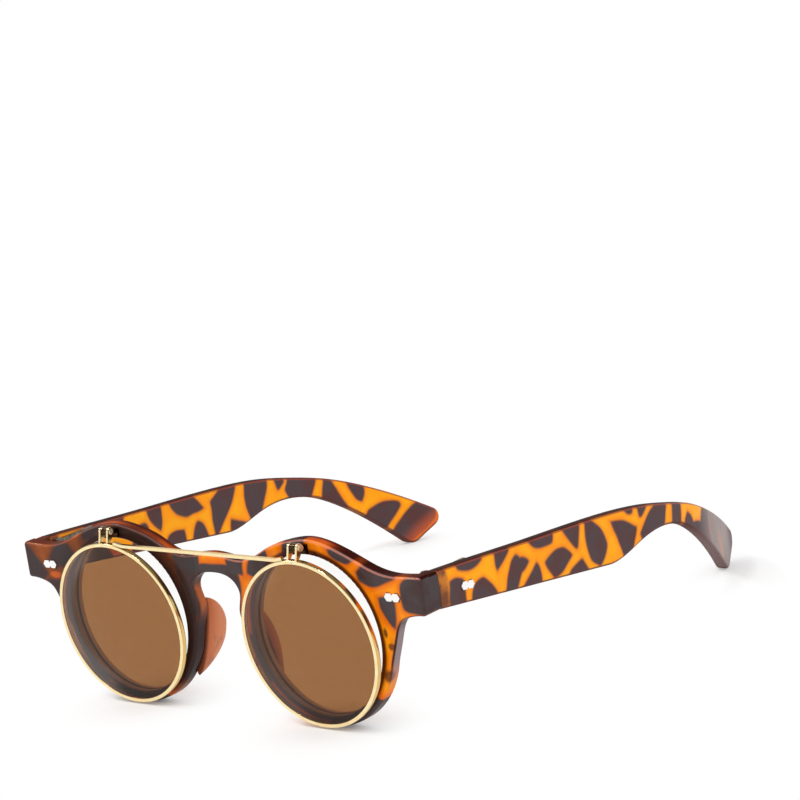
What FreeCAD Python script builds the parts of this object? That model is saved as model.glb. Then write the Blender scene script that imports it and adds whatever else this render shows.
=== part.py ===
import FreeCAD, Part
import math
import os
import Sketcher

# Flip up sunglasses: a tortoise front with a keyhole bridge, two temples, and a gold pair of round tinted
# lenses that hangs in front of it from two small hinges on the brow.
# +X is the wearer's left, +Y runs back along the temples, +Z is up.
# The rims and the temple tips stand on Z = 0.

Vec = FreeCAD.Vector

# Driving sizes, in millimetres and degrees
SIZES = {
    # front
    "aperture_radius": 21.3,
    "bridge_gap": 25.0,
    "rim_width": 2.9,
    "brow_depth": 3.9,
    "front_thickness": 3.8,
    "endpiece_reach": 13.0,
    "endpiece_rise": 17.8,
    "endpiece_height": 10.0,
    "endpiece_depth": 6.6,
    "endpiece_corner": 0.9,
    "keyhole_rise": 14.0,
    "keyhole_half": 8.35,
    "keyhole_widest": 9.4,
    "waist_half": 7.4,
    "waist_rise": 4.6,
    "bridge_height": 5.1,
    "bridge_dip": 1.0,
    "front_round": 0.8,
    "back_round": 0.5,
    "aperture_round": 0.3,
    # fixed lenses and nose pads
    "clear_lens_thickness": 1.8,
    "clear_lens_bulge": 1.2,
    "lens_groove": 0.5,
    "lens_play": 0.04,
    "pad_length": 23.0,
    "pad_width": 3.8,
    "pad_reach": 6.4,
    "pad_lean": 17.0,
    "pad_inset": 0.9,
    "pad_drop": 5.4,
    # double-hexagon studs
    "stud_length": 5.4,
    "stud_height": 2.3,
    "stud_proud": 0.3,
    "stud_recess": 0.5,
    "stud_inset": 9.7,
    "stud_drop": 0.6,
    "shank_spacing": 2.7,
    "shank_radius": 0.6,
    "shank_play": 0.03,
    # temples
    "temple_thickness": 3.6,
    "temple_play": 0.12,
    "temple_step": 0.3,
    "temple_height": 9.8,
    "temple_straight": 83.8,
    "temple_sweep": 148.5,
    "temple_round": 0.9,
    "wide_at": 74.2,
    "wide_drop": 5.8,
    "wide_height": 13.65,
    "bend_at": 103.6,
    "bend_drop": 11.2,
    "bend_height": 5.9,
    "tip_at": 140.6,
    "tip_corner": 3.2,
    "tip_face": 6.33,
    "tip_slope": 31.0,
    "temple_stud_at": 17.0,
    "temple_stud_drop": 2.0,
    "temple_stud_slope": 9.0,
    # temple hinges
    "hinge_inset": 1.7,
    "hinge_setback": 1.6,
    "hinge_height": 6.6,
    "barrel_radius": 1.4,
    "barrel_play": 0.1,
    "leaf_thickness": 0.9,
    "front_leaf_length": 9.0,
    "temple_leaf_length": 12.0,
    "screw_radius": 0.7,
    "screw_play": 0.03,
    "screw_head_radius": 1.25,
    "screw_head_height": 0.5,
    # flip up lenses and their hinges
    "ring_overlap": 1.2,
    "ring_wall": 1.1,
    "ring_depth": 1.6,
    "ring_groove": 0.45,
    "ring_slit": 0.35,
    "ring_chamfer": 0.25,
    "tinted_lens_thickness": 1.5,
    "tinted_lens_bulge": 1.2,
    "pin_gap": 2.9,
    "pin_drop": 1.2,
    "ring_set": 1.5,
    "ear_length": 2.7,
    "ear_thickness": 0.6,
    "ear_radius": 1.15,
    "flip_hang": 3.5,
    "knuckle_width": 2.0,
    "knuckle_play": 0.1,
    "pin_radius": 0.55,
    "pin_play": 0.04,
    "pin_head_radius": 0.95,
    "pin_head_length": 0.45,
    "foot_width": 3.2,
    "foot_thickness": 0.7,
    "foot_margin": 0.5,
    "anchor_radius": 0.55,
    "anchor_length": 2.2,
    "bar_thickness": 0.8,
    "bar_width": 0.95,
    "bar_bend": 6.0,
    "bar_hold_from": 9.0,
    "bar_hold_to": 14.0,
    "braze_gap": 0.02,
}

# Sizes and places that follow from the driving ones
DERIVED = {
    "eye_x": "=aperture_radius + bridge_gap / 2",
    "rim_radius": "=aperture_radius + rim_width",
    "half_width": "=eye_x + rim_radius + endpiece_reach",
    "brow_z": "=rim_radius + aperture_radius + brow_depth",
    "endpiece_top": "=rim_radius + endpiece_rise",
    "endpiece_bottom": "=endpiece_top - endpiece_height",
    "keyhole_top": "=rim_radius + keyhole_rise",
    "bridge_top": "=keyhole_top + bridge_height",
    "hinge_z": "=endpiece_top - endpiece_height / 2",
    "stud_x": "=half_width - stud_inset",
    "stud_z": "=hinge_z - stud_drop",
    "temple_stud_z": "=hinge_z - temple_stud_drop",
    "temple_inside": "=half_width - temple_thickness",
    "temple_start": "=endpiece_depth + temple_play",
    "temple_top": "=endpiece_top - temple_step",
    "hinge_x": "=temple_inside - hinge_inset",
    "hinge_back": "=endpiece_depth + hinge_setback",
    "knuckle_height": "=(hinge_height - 2 * barrel_play) / 3",
    "screw_bore": "=screw_radius + screw_play",
    "shank_bore": "=shank_radius + shank_play",
    "ring_radius": "=aperture_radius + ring_overlap",
    "ring_drop": "=ear_length + ring_radius",
    "pin_z": "=brow_z - pin_drop",
    "pin_bore": "=pin_radius + pin_play",
    "foot_height": "=brow_depth - front_round - 2 * foot_margin + aperture_round",
    "foot_z": "=rim_radius + aperture_radius + foot_margin + foot_height / 2",
    "pad_x": "=bridge_gap / 2 - pad_inset",
    "pad_z": "=rim_radius - pad_drop",
    "ear_inside": "=knuckle_width / 2 + knuckle_play",
    "ear_outside": "=ear_inside + ear_thickness",
    "tip_end": "=tip_at + tip_face * cos(tip_slope) + tip_corner",
    "ring_reach": "=(ring_set + ring_depth / 2) * cos(flip_hang) - ear_length * sin(flip_hang)",
    "tinted_edge": "=ring_radius - ring_wall - lens_play",
    "tinted_curve": "=(tinted_edge ^ 2 + tinted_lens_bulge ^ 2) / (2 * tinted_lens_bulge)",
    "tinted_front": "=ring_set + tinted_lens_thickness / 2 + tinted_lens_bulge",
    "lens_reach": "=tinted_curve - (tinted_curve - tinted_front) * cos(flip_hang) - ring_drop * sin(flip_hang)",
    "flip_reach": "=pin_gap + max(ring_reach; lens_reach)",
    "front_y": "=(flip_reach - tip_end) / 2",
    "hinge_y": "=front_y + hinge_back",
    "pin_y": "=front_y - pin_gap",
    "ring_y": "=pin_y - ring_set * cos(flip_hang) + ring_drop * sin(flip_hang)",
    "ring_z": "=pin_z - ring_set * sin(flip_hang) - ring_drop * cos(flip_hang)",
}

doc = FreeCAD.newDocument("flip_up_sunglasses")
sheet = doc.addObject("Spreadsheet::Sheet", "Sizes")
for row, (alias, content) in enumerate({**SIZES, **DERIVED}.items(), start=1):
    sheet.set(f"A{row}", alias)
    sheet.set(f"B{row}", str(content))
    sheet.setAlias(f"B{row}", alias)
doc.recompute()

NODES = []


def size(alias):
    return float(sheet.get(alias))


def words(expression):
    """Writes an expression on sizes in the sheet's own terms."""
    out = expression
    for alias in sorted({**SIZES, **DERIVED}, key=len, reverse=True):
        out = out.replace(f"[{alias}]", f"Sizes.{alias}")
    return out


def place(item, x="0", y="0", z="0"):
    for axis, expression in zip("xyz", (x, y, z)):
        item.setExpression(f"Placement.Base.{axis}", words(expression))


def node(item, label):
    item.Label = label
    NODES.append(item)
    return item


def mirrored(source, label):
    """The right hand twin of a left hand piece."""
    twin = doc.addObject("Part::Mirroring", label)
    twin.Source = source
    twin.Base = Vec(0, 0, 0)
    twin.Normal = Vec(1, 0, 0)
    return node(twin, label)


# Part primitives with bound sizes
def box(name, corner, lengths):
    solid = doc.addObject("Part::Box", name)
    for prop, expression in zip(("Length", "Width", "Height"), lengths):
        solid.setExpression(prop, words(expression))
    place(solid, *corner)
    return solid


AXIS_TURN = {
    "x": FreeCAD.Rotation(Vec(0, 1, 0), 90),
    "y": FreeCAD.Rotation(Vec(1, 0, 0), -90),
    "z": FreeCAD.Rotation(),
}


def rod(name, along, start, radius, length):
    solid = doc.addObject("Part::Cylinder", name)
    solid.setExpression("Radius", words(radius))
    solid.setExpression("Height", words(length))
    solid.Placement = FreeCAD.Placement(Vec(), AXIS_TURN[along])
    place(solid, *start)
    return solid


def fuse(name, solids):
    joined = doc.addObject("Part::MultiFuse", name)
    joined.Shapes = solids
    joined.Refine = True
    return joined


def cut(name, base, tool):
    result = doc.addObject("Part::Cut", name)
    result.Base = base
    result.Tool = tool
    result.Refine = True
    return result


# PartDesign bodies
def new_body(name):
    return doc.addObject("PartDesign::Body", name)


def sketch_on(body, plane, name, curves=(), lift=None):
    """A sketch on one of the body's own planes, with its curves joined end to end."""
    sketch = body.newObject("Sketcher::SketchObject", name)
    support = next(f for f in body.Origin.OriginFeatures if f.Role == plane)
    sketch.AttachmentSupport = [(support, "")]
    sketch.MapMode = "FlatFace"
    if lift:
        sketch.setExpression("AttachmentOffset.Base.z", words(lift))
    for curve in curves:
        sketch.addGeometry(curve, False)
    for index in range(len(curves)):
        following = (index + 1) % len(curves)

        def apart(ends):
            return sketch.getPoint(index, ends[0]).distanceToPoint(sketch.getPoint(following, ends[1]))

        first, second = min(((a, b) for a in (1, 2) for b in (1, 2)), key=apart)
        sketch.addConstraint(Sketcher.Constraint("Coincident", index, first, following, second))
    return sketch


def circles_on(body, plane, name, circles, lift=None):
    """A sketch of circles, each with bound centre and radius."""
    sketch = sketch_on(body, plane, name, lift=lift)
    for centre_x, centre_y, radius in circles:
        index = sketch.addGeometry(Part.Circle(Vec(1, 1, 0), Vec(0, 0, 1), 1), False)
        for kind, expression in (("DistanceX", centre_x), ("DistanceY", centre_y)):
            number = sketch.addConstraint(Sketcher.Constraint(kind, -1, 1, index, 3, 1.0))
            sketch.setExpression(f"Constraints[{number}]", words(expression))
        number = sketch.addConstraint(Sketcher.Constraint("Radius", index, 1.0))
        sketch.setExpression(f"Constraints[{number}]", words(radius))
    return sketch


def settle(feature):
    """Recomputes the document and stops at once where the feature failed."""
    doc.recompute()
    assert feature.isValid(), f"{feature.Name}: {feature.State} {feature.getStatusString()}"
    return feature


def pad(body, sketch, length, reverse=False):
    feature = body.newObject("PartDesign::Pad", sketch.Name + "_pad")
    feature.Profile = sketch
    feature.setExpression("Length", words(length))
    feature.Reversed = reverse
    return settle(feature)


def pocket(body, sketch, length=None, reverse=False, both_ways=False):
    """Cuts a sketch out of the body, to a depth or right through, and checks that it cut."""
    before = body.Shape.Volume
    feature = body.newObject("PartDesign::Pocket", sketch.Name + "_pocket")
    feature.Profile = sketch
    feature.Reversed = reverse
    if length:
        feature.setExpression("Length", words(length))
    else:
        feature.Type = "ThroughAll"
        feature.Midplane = both_ways
    settle(feature)
    assert body.Shape.Volume < before - 1e-6, f"{sketch.Name} cut nothing"
    return feature


def revolve(body, sketch, kind="Revolution", axis="V_Axis"):
    feature = body.newObject("PartDesign::" + kind, sketch.Name + "_turn")
    feature.Profile = sketch
    feature.ReferenceAxis = (sketch, [axis])
    feature.Angle = 360
    return settle(feature)


def round_edges(body, radius, wanted):
    """Fillets the edges of the body's tip that the test picks."""
    base = body.Tip
    picked = [f"Edge{n}" for n, edge in enumerate(base.Shape.Edges, start=1) if wanted(edge)]
    assert picked, f"no edges to round on {body.Name}"
    feature = body.newObject("PartDesign::Fillet", body.Name + "_round")
    feature.Base = (base, picked)
    feature.setExpression("Radius", words(radius))
    return settle(feature)


# Curves of an outline
def line(start, end):
    return Part.LineSegment(Vec(*start), Vec(*end))


def arc(centre, radius, start, end):
    """An arc from one angle to another, in degrees."""
    def at(angle):
        turn = math.radians(angle)
        return Vec(centre[0] + radius * math.cos(turn), centre[1] + radius * math.sin(turn), 0)
    return Part.Arc(at(start), at((start + end) / 2), at(end))


def spline(points, first=None, final=None):
    """A smooth curve through the points, with set directions at its ends where they are given."""
    curve = Part.BSplineCurve()
    vectors = [Vec(*point) for point in points]
    if first and final:
        curve.interpolate(Points=vectors, InitialTangent=Vec(*first), FinalTangent=Vec(*final), Scale=False)
    else:
        curve.interpolate(Points=vectors)
    return curve


def heading(angle):
    return (math.cos(math.radians(angle)), math.sin(math.radians(angle)))


def polygon(points):
    closed = list(points) + [points[0]]
    return [line(a, b) for a, b in zip(closed, closed[1:])]


def flipped(points):
    return [(-x, z) for x, z in reversed(points)]


# Front frame
RIM_ARC_FROM = -16
RIM_ARC_TO = -140
# Points of the brow line: shares of the lens radius across from the eye, and of the fall to its ends
BROW_NASAL = ((-0.634, 0.541), (-0.319, 0.180))
BROW_TEMPORAL = ((0.028, 0.0), (0.385, 0.176), (0.775, 0.608))
# Points above the bridge: shares of the nasal width, and of the bridge's dip
BRIDGE_TOP = ((0.44, -0.55), (0.84, -1.0), (1.20, 0.1))
# Points of an end piece's two edges: shares of its reach in from the end, and of the fall beside it
ENDPIECE_TOP = ((1.13, 0.919), (0.64, 1.041))
ENDPIECE_UNDER = ((0.42, 0.083), (0.67, 0.282), (0.79, 0.603), (0.915, 1.154))
# Points of the keyhole's flared mouth: shares of the nasal width, and of the rim's radius below its middle
KEYHOLE_MOUTH = ((0.868, 0.326), (0.728, 0.087))
# The keyhole's shoulder: shares of its half width, and of the way from its widest part to its top
KEYHOLE_SHOULDER = (0.826, 0.565)


def front_outline():
    """The front seen from ahead: brow and bridge, end pieces, rims and keyhole."""
    eye = size("eye_x")
    middle = size("rim_radius")
    brow = size("brow_z")
    half = size("half_width")
    reach = size("endpiece_reach")
    corner = size("endpiece_corner")
    top = size("endpiece_top")
    bottom = size("endpiece_bottom")
    bridge = size("bridge_top")
    dip = size("bridge_dip")
    nasal = eye - size("aperture_radius")
    radius = size("aperture_radius")
    shoulder = brow - top
    upper_half = [(across * nasal, bridge + up * dip) for across, up in BRIDGE_TOP]
    upper_half += [(eye + across * radius, brow - fall * (brow - bridge)) for across, fall in BROW_NASAL]
    upper_half += [(eye + across * radius, brow - fall * shoulder) for across, fall in BROW_TEMPORAL]
    upper_half += [(half - across * reach, brow - fall * shoulder) for across, fall in ENDPIECE_TOP]
    upper_half += [(half - corner, top)]
    rim_end = arc((eye, middle), size("rim_radius"), RIM_ARC_FROM, RIM_ARC_TO)
    temporal = [(half - corner, bottom)]
    temporal += [(half - across * reach, bottom - fall * (bottom - middle)) for across, fall in ENDPIECE_UNDER]
    temporal += [tuple(rim_end.StartPoint)[:2]]
    widest = size("keyhole_widest")
    keyhole_half = [(across * nasal, middle - fall * middle) for across, fall in KEYHOLE_MOUTH]
    keyhole_half += [
        (size("waist_half"), middle + size("waist_rise")),
        (size("keyhole_half"), middle + widest),
        (KEYHOLE_SHOULDER[0] * size("keyhole_half"),
         middle + widest + KEYHOLE_SHOULDER[1] * (size("keyhole_rise") - widest)),
    ]
    nose = [tuple(rim_end.EndPoint)[:2]] + keyhole_half + [(0, size("keyhole_top"))]
    nose += flipped(nose[:-1])
    down = heading(RIM_ARC_FROM - 90)
    inward = heading(RIM_ARC_TO - 90)
    return [
        spline(flipped(upper_half) + [(0, bridge)] + upper_half, (1, 0), (1, 0)),
        arc((half - corner, top - corner), corner, 90, 0),
        line((half, top - corner), (half, bottom + corner)),
        arc((half - corner, bottom + corner), corner, 0, -90),
        spline(temporal, (-1, 0), down),
        rim_end,
        spline(nose, inward, (inward[0], -inward[1])),
        arc((-eye, middle), size("rim_radius"), -180 - RIM_ARC_TO, -180 - RIM_ARC_FROM),
        spline(flipped(temporal), (down[0], -down[1]), (-1, 0)),
        arc((corner - half, bottom + corner), corner, -90, -180),
        line((-half, bottom + corner), (-half, top - corner)),
        arc((corner - half, top - corner), corner, 180, 90),
    ]


def endpiece_return(side):
    """The part of an end piece that turns back to meet the temple, seen from ahead."""
    inside = side * size("temple_inside")
    outside = side * size("half_width")
    corner = size("endpiece_corner")
    edge = outside - side * corner
    top = size("temple_top")
    bottom = size("endpiece_bottom")
    outward = 0 if side > 0 else 180
    return [
        line((inside, bottom), (edge, bottom)),
        arc((edge, bottom + corner), corner, -90, -outward),
        line((outside, bottom + corner), (outside, top - corner)),
        arc((edge, top - corner), corner, outward, 90),
        line((edge, top), (inside, top)),
        line((inside, top), (inside, bottom)),
    ]


def lies_at(edge, axis, value):
    """True where the whole edge lies in the plane where one coordinate has this value."""
    points = edge.discretize(5)
    return all(abs(getattr(point, axis) - value) < 1e-4 for point in points)


def is_round_an_eye(edge):
    curve = edge.Curve
    return isinstance(curve, Part.Circle) and abs(curve.Radius - size("aperture_radius")) < 1e-4


# A stud's hexagons: where their flats end and start, as shares of its half length
HEXAGON_FLAT_END = 0.72
HEXAGON_FLAT_START = 0.3
# The narrow waist between them, as a share of its height
HEXAGON_WAIST = 0.58


def hexagon_pair(grow=0.0):
    """The outline of a stud's head: two hexagons side by side."""
    tip = size("stud_length") / 2 + grow
    high = size("stud_height") / 2 + grow
    end = HEXAGON_FLAT_END * tip
    start = HEXAGON_FLAT_START * tip
    upper = [(tip, 0), (end, high), (start, high), (0, HEXAGON_WAIST * high), (-start, high), (-end, high)]
    return upper + [(-x, -y) for x, y in upper]


def shifted(points, across, up, turn=0.0):
    c = math.cos(math.radians(turn))
    s = math.sin(math.radians(turn))
    return [(across + c * x - s * y, up + s * x + c * y) for x, y in points]


SIDES = (1, -1)


def front_frame():
    body = new_body("front")
    pad(body, sketch_on(body, "XZ_Plane", "front_outline", front_outline()), "[front_thickness]", True)
    round_edges(body, "[front_round]", lambda e: lies_at(e, "y", 0))
    round_edges(body, "[back_round]", lambda e: lies_at(e, "y", size("front_thickness")))
    eyes = [(f"{side} * [eye_x]", "[rim_radius]", "[aperture_radius]") for side in SIDES]
    pocket(body, circles_on(body, "XZ_Plane", "lens_apertures", eyes))
    round_edges(body, "[aperture_round]", is_round_an_eye)
    for side in SIDES:
        sketch = sketch_on(body, "XZ_Plane", f"endpiece_return_{SIDES.index(side)}", endpiece_return(side),
                           "-[front_thickness] / 2")
        pad(body, sketch, "[endpiece_depth] - [front_thickness] / 2", True)
    groove = size("lens_groove")
    edge = size("aperture_radius")
    middle = size("front_thickness") / 2
    for side in SIDES:
        centre = side * size("eye_x")
        vee = [(centre + edge - groove, middle - 2 * groove), (centre + edge + groove, middle),
               (centre + edge - groove, middle + 2 * groove)]
        sketch = sketch_on(body, "XY_Plane", f"lens_groove_{SIDES.index(side)}", polygon(vee), "[rim_radius]")
        axis = sketch.addGeometry(line((centre, 0), (centre, 1)), True)
        sketch.addConstraint(Sketcher.Constraint("Block", axis))
        revolve(body, sketch, "Groove", "Axis0")
        recess = shifted(hexagon_pair(size("shank_play")), side * size("stud_x"), size("stud_z"))
        pocket(body, sketch_on(body, "XZ_Plane", f"stud_recess_{SIDES.index(side)}", polygon(recess)),
               "[stud_recess]")
    holes = [(f"{side} * [stud_x] + {step} * [shank_spacing] / 2", "[stud_z]", "[shank_bore]")
             for side in SIDES for step in SIDES]
    pocket(body, circles_on(body, "XZ_Plane", "stud_holes", holes))
    anchors = [(f"{side} * [eye_x]", "[foot_z]", "[anchor_radius] + [shank_play]") for side in SIDES]
    pocket(body, circles_on(body, "XZ_Plane", "anchor_holes", anchors), "[anchor_length] + [shank_play]")
    place(body, y="[front_y]")
    return node(body, "front_frame")


# Lenses and eyewires
def lens(name, radius, groove, thickness, bulge):
    """A round lens bulged towards the front, whose bevelled edge sits in a groove."""
    body = new_body(name)
    half = size(thickness) / 2
    sag = size(bulge)
    edge = radius - size("lens_play")
    bevel = min(groove, half)
    curve = (edge ** 2 + sag ** 2) / (2 * sag)
    spread = math.degrees(math.asin(edge / curve))
    front = arc((0, curve - half - sag), curve, -90, spread - 90)
    back = arc((0, curve + half - sag), curve, spread - 90, -90)
    rim = [(edge, -half), (edge, -bevel), (edge + groove, 0), (edge, bevel), (edge, half)]
    if half - bevel < 1e-6:
        rim = rim[0::2]
    sides = [line(start, end) for start, end in zip(rim, rim[1:])]
    axis = Part.LineSegment(back.EndPoint, front.StartPoint)
    revolve(body, sketch_on(body, "XY_Plane", name + "_profile", [front] + sides + [back, axis]))
    return body


def clear_lens():
    body = lens("clear_lens", size("aperture_radius"), size("lens_groove"), "clear_lens_thickness",
                "clear_lens_bulge")
    place(body, "[eye_x]", "[front_y] + [front_thickness] / 2", "[rim_radius]")
    return node(body, "left_clear_lens")


def hang(item, x="0", y="[pin_y]", z="[pin_z]"):
    """Places a piece of the flip up half, turned by the angle at which it hangs."""
    item.Placement = FreeCAD.Placement(Vec(), FreeCAD.Rotation(Vec(1, 0, 0), size("flip_hang")))
    item.setExpression("Placement.Rotation.Angle", words("[flip_hang]"))
    place(item, x, y, z)


def eyewire():
    body = new_body("eyewire")
    outer = size("ring_radius")
    inner = outer - size("ring_wall")
    half = size("ring_depth") / 2
    groove = size("ring_groove")
    bevel = size("ring_chamfer")
    profile = [(inner, -half), (outer - bevel, -half), (outer, bevel - half), (outer, half - bevel),
               (outer - bevel, half), (inner, half), (inner, groove), (inner + groove, 0), (inner, -groove)]
    revolve(body, sketch_on(body, "XY_Plane", "eyewire_profile", polygon(profile)))
    slit = size("ring_slit") / 2
    gap = [(-slit, inner - half), (slit, inner - half), (slit, outer + half), (-slit, outer + half)]
    pocket(body, sketch_on(body, "XZ_Plane", "eyewire_slit", polygon(gap)), both_ways=True)
    hang(body, "[eye_x]", "[ring_y]", "[ring_z]")
    return node(body, "left_eyewire")


def tinted_lens():
    inner = size("ring_radius") - size("ring_wall")
    body = lens("tinted_lens", inner, size("ring_groove"), "tinted_lens_thickness", "tinted_lens_bulge")
    hang(body, "[eye_x]", "[ring_y]", "[ring_z]")
    return node(body, "left_tinted_lens")


def flip_bar():
    """The bar follows the top of each ring for a few degrees and runs level between them."""
    body = new_body("flip_bar_body")
    eye = size("eye_x")
    low = -size("ring_drop")
    half = size("bar_thickness") / 2
    hold = size("ring_radius") + size("braze_gap") + half
    start = size("bar_hold_from")
    end = size("bar_hold_to")
    bend = size("bar_bend")
    turn = heading(90 + end)
    bend_x = eye + (hold + bend) * turn[0]
    bend_z = low + (hold + bend) * turn[1]
    upper = [arc((eye, low), hold + half, 90 + start, 90 + end),
             arc((bend_x, bend_z), bend - half, end - 90, -90)]
    lower = [arc((bend_x, bend_z), bend + half, -90, end - 90),
             arc((eye, low), hold - half, 90 + end, 90 + start)]

    def other_side(curve):
        middle = curve.value((curve.FirstParameter + curve.LastParameter) / 2)
        return Part.Arc(*[Vec(-p.x, p.y, 0) for p in (curve.EndPoint, middle, curve.StartPoint)])

    def joined(a, b):
        return Part.LineSegment(a.EndPoint, b.StartPoint)

    far_upper = [other_side(curve) for curve in reversed(upper)]
    far_lower = [other_side(curve) for curve in reversed(lower)]
    curves = upper + [joined(upper[1], far_upper[0])] + far_upper + [joined(far_upper[1], far_lower[0])]
    curves += far_lower + [joined(far_lower[1], lower[0])] + lower + [joined(lower[1], upper[0])]
    sketch = sketch_on(body, "XZ_Plane", "flip_bar_outline", curves, "[ring_set] - [bar_width] / 2")
    pad(body, sketch, "[bar_width]")
    hang(body)
    return node(body, "flip_bar")


# Flip hinges
EAR_BACK = -30


def flip_ear(name, side_of_eye):
    """One ear of a ring's split end, drawn round the pin and seated on the ring."""
    body = new_body(name)
    radius = size("ear_radius")
    foot = -size("ear_length") + size("braze_gap")
    front = -size("ring_set") - size("ring_depth") / 2 + size("ring_chamfer")
    back = -size("ring_set") + size("ring_depth") / 2 - size("ring_chamfer")
    over = arc((0, 0), radius, EAR_BACK, 180)
    start = tuple(over.StartPoint)[:2]
    end = tuple(over.EndPoint)[:2]
    curves = [over, line(end, (front, foot)), line((front, foot), (back, foot)), line((back, foot), start)]
    lift = "[eye_x] + [ear_inside]" if side_of_eye > 0 else "[eye_x] - [ear_outside]"
    pad(body, sketch_on(body, "YZ_Plane", name + "_outline", curves, lift), "[ear_thickness]")
    pocket(body, circles_on(body, "YZ_Plane", name + "_hole", [("0", "0", "[pin_bore]")]), both_ways=True)
    hang(body)
    return body


def flip_pin():
    shaft = rod("flip_pin_shaft", "x", ("[eye_x] - [ear_outside]", "0", "0"), "[pin_radius]",
                "2 * [ear_outside]")
    head = rod("flip_pin_head", "x", ("[eye_x] + [ear_outside]", "0", "0"), "[pin_head_radius]",
               "[pin_head_length]")
    pin = fuse("flip_pin", [shaft, head])
    hang(pin)
    return node(pin, "left_flip_pin")


def flip_bracket():
    """The frame's knuckle: a barrel on an arm, with a foot on the brow and an anchor set into it."""
    left = "[eye_x] - [knuckle_width] / 2"
    barrel = rod("bracket_barrel", "x", (left, "[pin_y]", "[pin_z]"), "[ear_radius]", "[knuckle_width]")
    arm = box("bracket_arm", (left, "[pin_y]", "[pin_z] - [ear_radius]"),
              ("[knuckle_width]", "[pin_gap]", "[ear_radius]"))
    foot = box("bracket_foot", ("[eye_x] - [foot_width] / 2", "[front_y] - [foot_thickness]",
                                "[foot_z] - [foot_height] / 2"),
               ("[foot_width]", "[foot_thickness]", "[foot_height]"))
    anchor = rod("bracket_anchor", "y", ("[eye_x]", "[front_y] - [foot_thickness]", "[foot_z]"),
                 "[anchor_radius]", "[anchor_length] + [foot_thickness]")
    bore = rod("bracket_bore", "x", ("[eye_x] - [knuckle_width]", "[pin_y]", "[pin_z]"), "[pin_bore]",
               "2 * [knuckle_width]")
    return node(cut("flip_bracket", fuse("bracket_solid", [barrel, arm, foot, anchor]), bore),
                "left_flip_bracket")


# Nose pads
# Sections of a pad: shares of its reach, its size, its half width towards the nose, and its length upwards
PAD_SECTIONS = (
    (0.0, 1.0, 0.0, 0.0),
    (0.45, 0.83, 0.58, 0.015),
    (0.82, 0.54, 1.08, 0.02),
    (1.0, 0.30, 1.26, 0.02),
)


def nose_pad():
    """A rounded pad behind the nasal side of the rim, from ellipses that shrink towards the back."""
    sections = []
    for step, (reach, shrink, shift, lift) in enumerate(PAD_SECTIONS):
        ring = doc.addObject("Part::Ellipse", f"pad_section_{step}")
        ring.setExpression("MajorRadius", words(f"{shrink} * [pad_length] / 2"))
        ring.setExpression("MinorRadius", words(f"{shrink} * [pad_width] / 2"))
        lean = FreeCAD.Rotation(Vec(0, 1, 0), -size("pad_lean"))
        upright = FreeCAD.Rotation(Vec(0, 0, 1), Vec(1, 0, 0), Vec(0, 1, 0), "ZXY")
        ring.Placement = FreeCAD.Placement(Vec(), lean * upright)
        place(ring, f"[pad_x] - {shift} * [pad_width] / 2",
              f"[front_y] + [front_thickness] + {reach} * [pad_reach]", f"[pad_z] + {lift} * [pad_length]")
        sections.append(ring)
    pad_loft = doc.addObject("Part::Loft", "nose_pad")
    pad_loft.Sections = sections
    pad_loft.Solid = True
    pad_loft.Ruled = False
    return node(pad_loft, "left_nose_pad")


# Studs
def stud(name, depth):
    """A double-hexagon head with two shanks, drawn with its head facing +Z."""
    body = new_body(name)
    pad(body, sketch_on(body, "XY_Plane", name + "_head", polygon(hexagon_pair()), "-[stud_recess]"),
        "[stud_recess] + [stud_proud]")
    round_edges(body, "[stud_proud] / 2", lambda e: lies_at(e, "z", size("stud_proud")))
    shanks = [(f"{step} * [shank_spacing] / 2", "0", "[shank_radius]") for step in SIDES]
    pad(body, circles_on(body, "XY_Plane", name + "_shanks", shanks, "-[stud_recess]"), depth, True)
    return body


def front_stud():
    body = stud("front_stud", "[front_thickness] + [leaf_thickness] - [stud_recess]")
    body.Placement = FreeCAD.Placement(Vec(), FreeCAD.Rotation(Vec(1, 0, 0), 90))
    place(body, "[stud_x]", "[front_y]", "[stud_z]")
    return node(body, "left_front_stud")


def temple_stud():
    body = stud("temple_stud", "[temple_thickness] + [leaf_thickness] - [stud_recess]")
    outward = FreeCAD.Rotation(Vec(1, 1, 1), 120)
    slope = FreeCAD.Rotation(Vec(0, 0, 1), -size("temple_stud_slope"))
    body.Placement = FreeCAD.Placement(Vec(), outward * slope)
    place(body, "[half_width]", "[front_y] + [temple_stud_at]", "[temple_stud_z]")
    return node(body, "left_temple_stud")


# Temples
# Slopes of the temple's edges in degrees: the top edge at the joint, and both edges where they reach the tip
TOP_EDGE_SLOPE = -4
TIP_TOP_SLOPE = -36
TIP_LOW_SLOPE = -45
# Points of the top edge: shares of the run and of the fall between joint, widest part, bend and tip
TOP_TO_WIDE = (0.5, 0.507)
TOP_TO_BEND = (0.65, 0.526)
TOP_TO_TIP = ((0.27, 0.169), (0.55, 0.429))
# Points of the lower edge: shares of the run and climb from tip to bend, then of those to the widest
LOW_TO_BEND = ((0.77, 0.325), (0.50, 0.644), (0.20, 0.902))
LOW_TO_WIDE = ((0.12, -0.17), (0.5, 0.12))


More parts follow.
